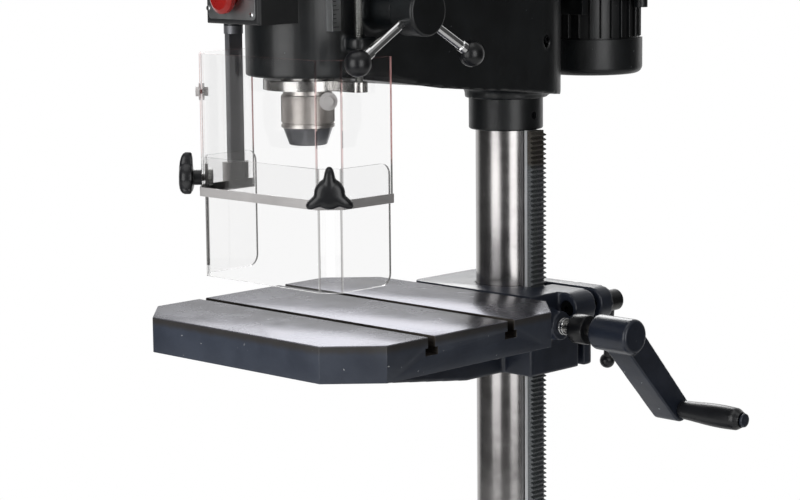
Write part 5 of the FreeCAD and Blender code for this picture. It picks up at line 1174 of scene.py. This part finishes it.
@dataclass
class StarKnob:
    """Three-lobed knob on a cut corner of the guard."""

    side: Side
    core: float = 18.0
    reach: float = 13.0
    lobe_share: float = 0.27
    thickness: float = 17.0
    neck_r: float = 9.5
    neck_h: float = 11.3
    stud_r: float = 3.9

    def radius(self, angle: float, share: float) -> float:
        """Return the outline's radius at an angle for a crown share from 0 to 1."""
        best = min(abs((angle - math.radians(a) + math.pi) % (2 * math.pi) - math.pi)
                   for a in (90, 210, 330))
        lobe = self.reach * math.exp(-((best / self.lobe_share) ** 2.6))
        return share * (self.core + lobe * share ** 1.5)

    def build(self, corner: Vector, height: float) -> None:
        """Make and dress the knob with its stud and nut.

        Args:
            corner: middle of the cut corner on the shield's outer face, in plan.
            height: the stud's height.
        """
        way = Vector((self.side.value, -1.0, 0.0)).normalized()
        across = Vector((-way.y, way.x, 0.0))
        centre = Vector((corner.x, corner.y, height))
        start, t = self.neck_h, self.thickness
        draft = Draft()
        draft.turned([(0, 0.3), (self.neck_r - 0.6, 0.3), (self.neck_r, 0.9), (self.neck_r, start - 1),
                      (self.neck_r + 2.5, start + 0.6), (0, start + 0.6)], centre, way, 0, 40)
        crown = [(0, 0.86), (1.0, 0.97), (2.5, 1.0), (t - 8.5, 1.0), (t - 5.5, 0.965), (t - 3.2, 0.89),
                 (t - 1.5, 0.76), (t - 0.5, 0.55), (t - 0.1, 0.3), (t, 0.06)]
        rings = []
        for lift, share in crown:
            ring = []
            for i in range(132):
                a = 2 * math.pi * i / 132
                r = self.radius(a, share)
                rim = across * (r * math.cos(a)) + UP * (r * math.sin(a))
                ring.append(centre + way * (start + lift) + rim)
            rings.append(ring)
        draft.faces_of(rings)
        draft.turned([(0, -14), (self.stud_r, -13.4), (self.stud_r, 0.6), (0, 0.6)], centre, way, 1, 24)
        nut = [(self.stud_r, -13.2), (9.2, -13.2), (10, -12.4), (10, -8.2), (9.2, -7.4), (self.stud_r, -7.4)]
        draft.turned(nut, centre, way, 1, 40)
        label = self.side.name.lower()
        body = "guard_knob_" + label
        fit(draft.object("star_knob_" + label), body, [BLACK, ZINC], [body], 40)


@dataclass
class Guard:
    """Clear swing-away chuck guard."""

    half_w: float = 121.7
    front: float = 84.5
    cut: float = 21.4
    spindle_y: float = -361.0
    knob_lift: float = 170.0

    def corner(self, side: Side) -> Vector:
        """Return the middle of one cut corner in plan."""
        x, y = self.half_w - self.cut / 2, self.spindle_y - self.front + self.cut / 2
        return Vector((side.value * x, y, 0))

    def bends(self, inset: float) -> tuple[tuple[float, float], ...]:
        """Return the two bend lines' places for positive X, in metres, at an inset from the outline."""
        front, lean = self.spindle_y - self.front, inset * (math.sqrt(2) - 1)
        return (((self.half_w - self.cut - lean) * MM, (front + inset) * MM),
                ((self.half_w - inset) * MM, (front + self.cut + lean) * MM))

    def paint_edges(self, draft: Draft) -> None:
        """Give a shield's sawn edges, rear ends and slot walls the denser finish."""
        along = self.half_w - self.cut - 6

        def sawn(centre: Vector, normal: Vector) -> bool:
            """Tell whether a face is one of the sheet's cut edges."""
            if abs(normal.z) > 0.5:
                return True
            if normal.y > 0.8 and centre.y > self.spindle_y + 5:
                return True
            side = 1.0 if centre.x > 0 else -1.0
            in_slot = abs(centre.x) > along and centre.y < self.spindle_y - self.front + self.cut + 6
            along_cut = abs(normal.x * side + normal.y) * math.sqrt(0.5)
            return in_slot and along_cut > 0.7 and abs(normal.x) > 0.5

        draft.paint(1, sawn)

    def build(self, table_top: float) -> None:
        """Make and dress shields, channel and knobs."""
        # the third number in each row is the height where the painted pink light starts on the sheet's bends
        # and edges; the lower shield's is set too high to show
        for node, body, grease_and_pink_light, inset in (("upper_shield", "guard", table_top + 190, 1.5),
                                        ("lower_shield", "lower_shield", 9000.0, 5.5)):
            draft = Draft()
            draft.carried(node)
            draft.flatten()
            self.paint_edges(draft)
            part = node.split("_")[0]
            clear = ClearSheet("Clear sheet " + part, tint("f8f6f4"), tint("efedeb"), 0.015,
                               bends=self.bends(inset), pink_light_z=grease_and_pink_light * MM)
            edge = ClearSheet("Cut sheet edge " + part, tint("686665"), tint("545251"), 0.25, alpha=0.95,
                              transmission=0.3, pink_light_z=grease_and_pink_light * MM)
            fit(draft.object(node + "_sheet", outward=False), body, [clear, edge], [node], 20)
        draft = Draft()
        draft.carried("shield_band")
        draft.flatten()
        edge = -self.half_w - 2.25
        draft.paint(1, lambda c, n: c.x < edge or c.z > table_top + 160.5)
        obj = bevel(draft.object("guard_channel", outward=False), 0.4, 2, 40)
        fit(obj, "guard", [CHANNEL, SMOKE], ["shield_band"], 30)
        for side in Side:
            StarKnob(side).build(self.corner(side), table_top + self.knob_lift)


@dataclass
class Drive:
    """Belt cover and motor."""

    cover: tuple[float, float, float, float] = (104.0, -361.0, 92.0, 175.0)
    motor_r: float = 68.0
    motor_y: float = 175.0
    fins: int = 28

    def build(self, rings: Pattern) -> None:
        """Make and dress cover and motor."""
        self.lid()
        self.motor(rings)

    def lid(self) -> None:
        """Pressed lid with beads, a rolled lip and a sunk top panel."""
        low, high = mm_box("belt_cover")
        z = low.z
        line = [(62, 95.6), (28.5, 95.6), (26.5, 97.4), (11.5, 97.4), (6.5, 95.8), (4.2, 91), (4.2, 0),
                (0, 0), (0, 7), (0.5, 8)]
        for bead in (29, 63):
            line += [(1.5, 8.8 if bead < 30 else 35.4), (1.5, bead - 1), (0.7, bead), (0.2, bead + 1.4),
                     (0.2, bead + 4), (0.7, bead + 5.4)]
        line += [(1.5, 69.4), (1.5, 89), (2.0, 92.6), (3.3, 96), (5.6, 98.6), (8.6, 99.8), (11.5, 100),
                 (25.5, 100), (26.8, 99.6), (28.6, 98.6), (30, 98.2), (62, 98.2)]
        draft = Draft()
        draft.faces_of([[p + UP * (z + h) for p in plan_hull(*self.cover, inset)] for inset, h in line])
        fit(draft.object("belt_lid"), "belt_cover", [DARK], ["belt_cover"], 45)

    def motor(self, rings: Pattern) -> None:
        """Ribbed motor frame."""
        low, high = mm_box("motor")
        z0, z1, r = low.z, high.z, self.motor_r
        centre = Vector((0, self.motor_y, 0))
        draft = Draft()
        line = [(0, z0), (r - 6, z0), (r - 5, z0 + 1), (r - 5, z1 - 18.5), (r - 0.8, z1 - 18), (r, z1 - 17.2),
                (r, z1 - 5), (r - 1, z1 - 4), (r - 5, z1 - 4), (r - 5, z1 - 1), (r - 6.5, z1), (9.6, z1)]
        draft.turned(line, centre, steps=112)
        fit(draft.object("motor_frame"), "motor", [DARK], ["motor"], 40)
        fin = Draft()
        plan = ((-8, -1.6), (-0.6, -1.0), (0, -0.5), (0, 0.5), (-0.6, 1.0), (-8, 1.6))
        side = [Vector((x, y, 22)) for x, y in plan]
        fin.prism(side, UP * (z1 - z0 - 40))
        obj = rings.make(fin, "motor_fins", DARK, Count=self.fins, Radius=r * MM,
                         Place=(0.0, self.motor_y * MM, z0 * MM))
        fit(obj, "motor", [DARK])


# ======================= carried CAD nodes =======================
CARRIED: dict[str, Finish] = {
    "stand_screws": OXIDE, "rack_collar": DARK, "quill_lock_seat": DARK, "spring_cap": DARK,
    "return_spring": BRIGHT, "belt_tray": ZINC, "cover_hinges": ZINC, "front_belt": RUBBER,
    "rear_belt": RUBBER, "guard_bracket": DARK, "rack": RACK, "table_bolts": OXIDE,
    "clamp_bolt": OXIDE, "clamp_lever": BLACK, "lift_pinion": BRIGHT, "lift_wheel": BRIGHT,
    "lift_worm": BRIGHT, "quill": BRIGHT, "quill_collar": BRIGHT, "quill_bearings": BRIGHT,
    "spindle": BRIGHT, "chuck_body": SATIN, "feed_shaft": BRIGHT, "feed_hub": DARK,
    "quill_lock": BLACK, "chuck_jaw_1": NOSE, "chuck_jaw_2": NOSE, "chuck_jaw_3": NOSE,
    "cover_fittings": ZINC, "drive_pulley": ALLOY, "idler_pulley": ALLOY, "motor_pulley": ALLOY,
    "motor_covers": DARK, "motor_mount": DARK, "guard_bar": BAR, "shield_screws": CHANNEL,
    "start_button": GREEN, "stop_button": RED, "estop_button": RED,
}


def dress_carried() -> None:
    """Give every CAD node that shows its finish."""
    for node, finish in CARRIED.items():
        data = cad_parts[node].data
        data.materials.clear()
        data.materials.append(finish.material())
        LOG.info("%s keeps its CAD shape in %s", node, finish.name)


# ======================= studio =======================
@dataclass
class Studio:
    """Pale floor, soft boxes, white surround and the camera."""

    floor_r: float = 2.0
    eye: tuple[float, float, float] = (2.1004, -2.3842, 1.3767)
    azimuth: float = 43.92
    elevation: float = 8.69
    roll: float = -0.56
    lens: float = 109.0
    backdrop: float = 0.92
    room: float = 0.07
    ceiling: float = 0.32

    def build(self) -> None:
        """Set up everything round the machine."""
        bpy.context.scene.view_settings.view_transform = "Standard"
        self.floor()
        self.surround()
        self.softbox("front_box", (0.10, -3.1, 1.35), (0.0, 0.0, 1.35), (1.9, 2.7), 46.0)
        side = self.softbox("right_box", (2.95, -1.1, 1.35), (0.0, 0.0, 1.35), (1.55, 2.7), 38.0)
        side.visible_diffuse = False
        self.softbox("top_box", (-0.2, -0.6, 3.6), (0.0, -0.2, 0.9), (2.6, 2.6), 20.0)
        self.softbox("rear_box", (-2.6, 2.4, 2.9), (0.0, 0.0, 0.9), (1.6, 1.6), 45.0)
        self.camera()

    def floor(self) -> None:
        """Round pale floor under the machine."""
        draft = Draft()
        rim = self.floor_r / MM
        draft.turned([(0, -12), (rim, -12), (rim, -1), (0, -1)], Vector(), steps=96)
        obj = draft.object("studio_floor")
        obj.data.materials.append(FLOOR.material())

    def surround(self) -> None:
        """White to the eye; bright behind the machine and dimmer elsewhere for reflections."""
        world = bpy.data.worlds.new("studio")
        bpy.context.scene.world = world
        world.use_nodes = True
        g = Graph(world.node_tree)
        way = g.add("ShaderNodeTexCoord").outputs["Generated"]
        a = math.radians(self.azimuth)
        behind = (-math.sin(a), math.cos(a), 0.0)
        facing = g.add("ShaderNodeVectorMath", {0: way, 1: behind}, operation="DOT_PRODUCT").outputs["Value"]
        share = g.step(facing, 0.45, 0.8)
        ceiling = g.math("MULTIPLY", g.step(g.part_of(way, 2), 0.2, 0.6), self.ceiling)
        glow = g.add("ShaderNodeMapRange", {"Value": share, "To Min": self.room,
                                            "To Max": self.backdrop}).outputs[0]
        glow = g.math("MAXIMUM", glow, ceiling)
        seen = g.add("ShaderNodeLightPath").outputs["Is Camera Ray"]
        strength = g.add("ShaderNodeMix", {0: seen, 2: glow, 3: 1.0}, data_type="FLOAT").outputs[0]
        light = g.add("ShaderNodeBackground", {"Color": (1.0, 1.0, 1.0, 1.0), "Strength": strength})
        g.add("ShaderNodeOutputWorld", {"Surface": light.outputs[0]})

    def softbox(self, name: str, place: tuple[float, float, float], aim: tuple[float, float, float],
                size: tuple[float, float], power: float) -> bpy.types.Object:
        """Add a soft box.

        Args:
            name: the light's name.
            place: its centre.
            aim: the point it faces.
            size: width and height in metres.
            power: watts.

        Returns:
            The light.
        """
        light = bpy.data.lights.new(name, "AREA")
        light.shape, light.size, light.size_y, light.energy = "RECTANGLE", size[0], size[1], power
        obj = bpy.data.objects.new(name, light)
        obj.location = place
        obj.rotation_euler = (Vector(aim) - Vector(place)).to_track_quat("-Z", "Y").to_euler()
        obj.visible_camera = False
        bpy.context.scene.collection.objects.link(obj)
        return obj

    def camera(self) -> None:
        """Camera on the machine's right front, a little above the table."""
        a, e, r = (math.radians(v) for v in (self.azimuth, self.elevation, self.roll))
        back = Vector((math.sin(a) * math.cos(e), -math.cos(a) * math.cos(e), math.sin(e)))
        right = Vector((math.cos(a), math.sin(a), 0))
        up = back.cross(right)
        turned_right = right * math.cos(r) + up * math.sin(r)
        turned_up = up * math.cos(r) - right * math.sin(r)
        view = Matrix((turned_right, turned_up, back)).transposed().to_4x4()
        view.translation = Vector(self.eye)
        data = bpy.data.cameras.new("camera")
        data.lens, data.sensor_width = self.lens, 36.0
        data.clip_start, data.clip_end = 0.05, 100.0
        obj = bpy.data.objects.new("camera", data)
        obj.matrix_world = view
        bpy.context.scene.collection.objects.link(obj)
        bpy.context.scene.camera = obj


def main() -> None:
    """Build every sub-assembly in order."""
    logging.basicConfig(level=logging.INFO, format="%(name)s: %(message)s")
    Studio().build()
    rings, line = Pattern(Repeat.RINGS), Pattern(Repeat.LINE)
    table_top = mm_box("table")[1].z
    dress_carried()
    Stand().build(rings)
    Table().build()
    Crank().build()
    Head().build(rings, line)
    Chuck().build(rings)
    Feed().build()
    Guard().build(table_top)
    Drive().build(rings)


if __name__ == "__main__":
    main()
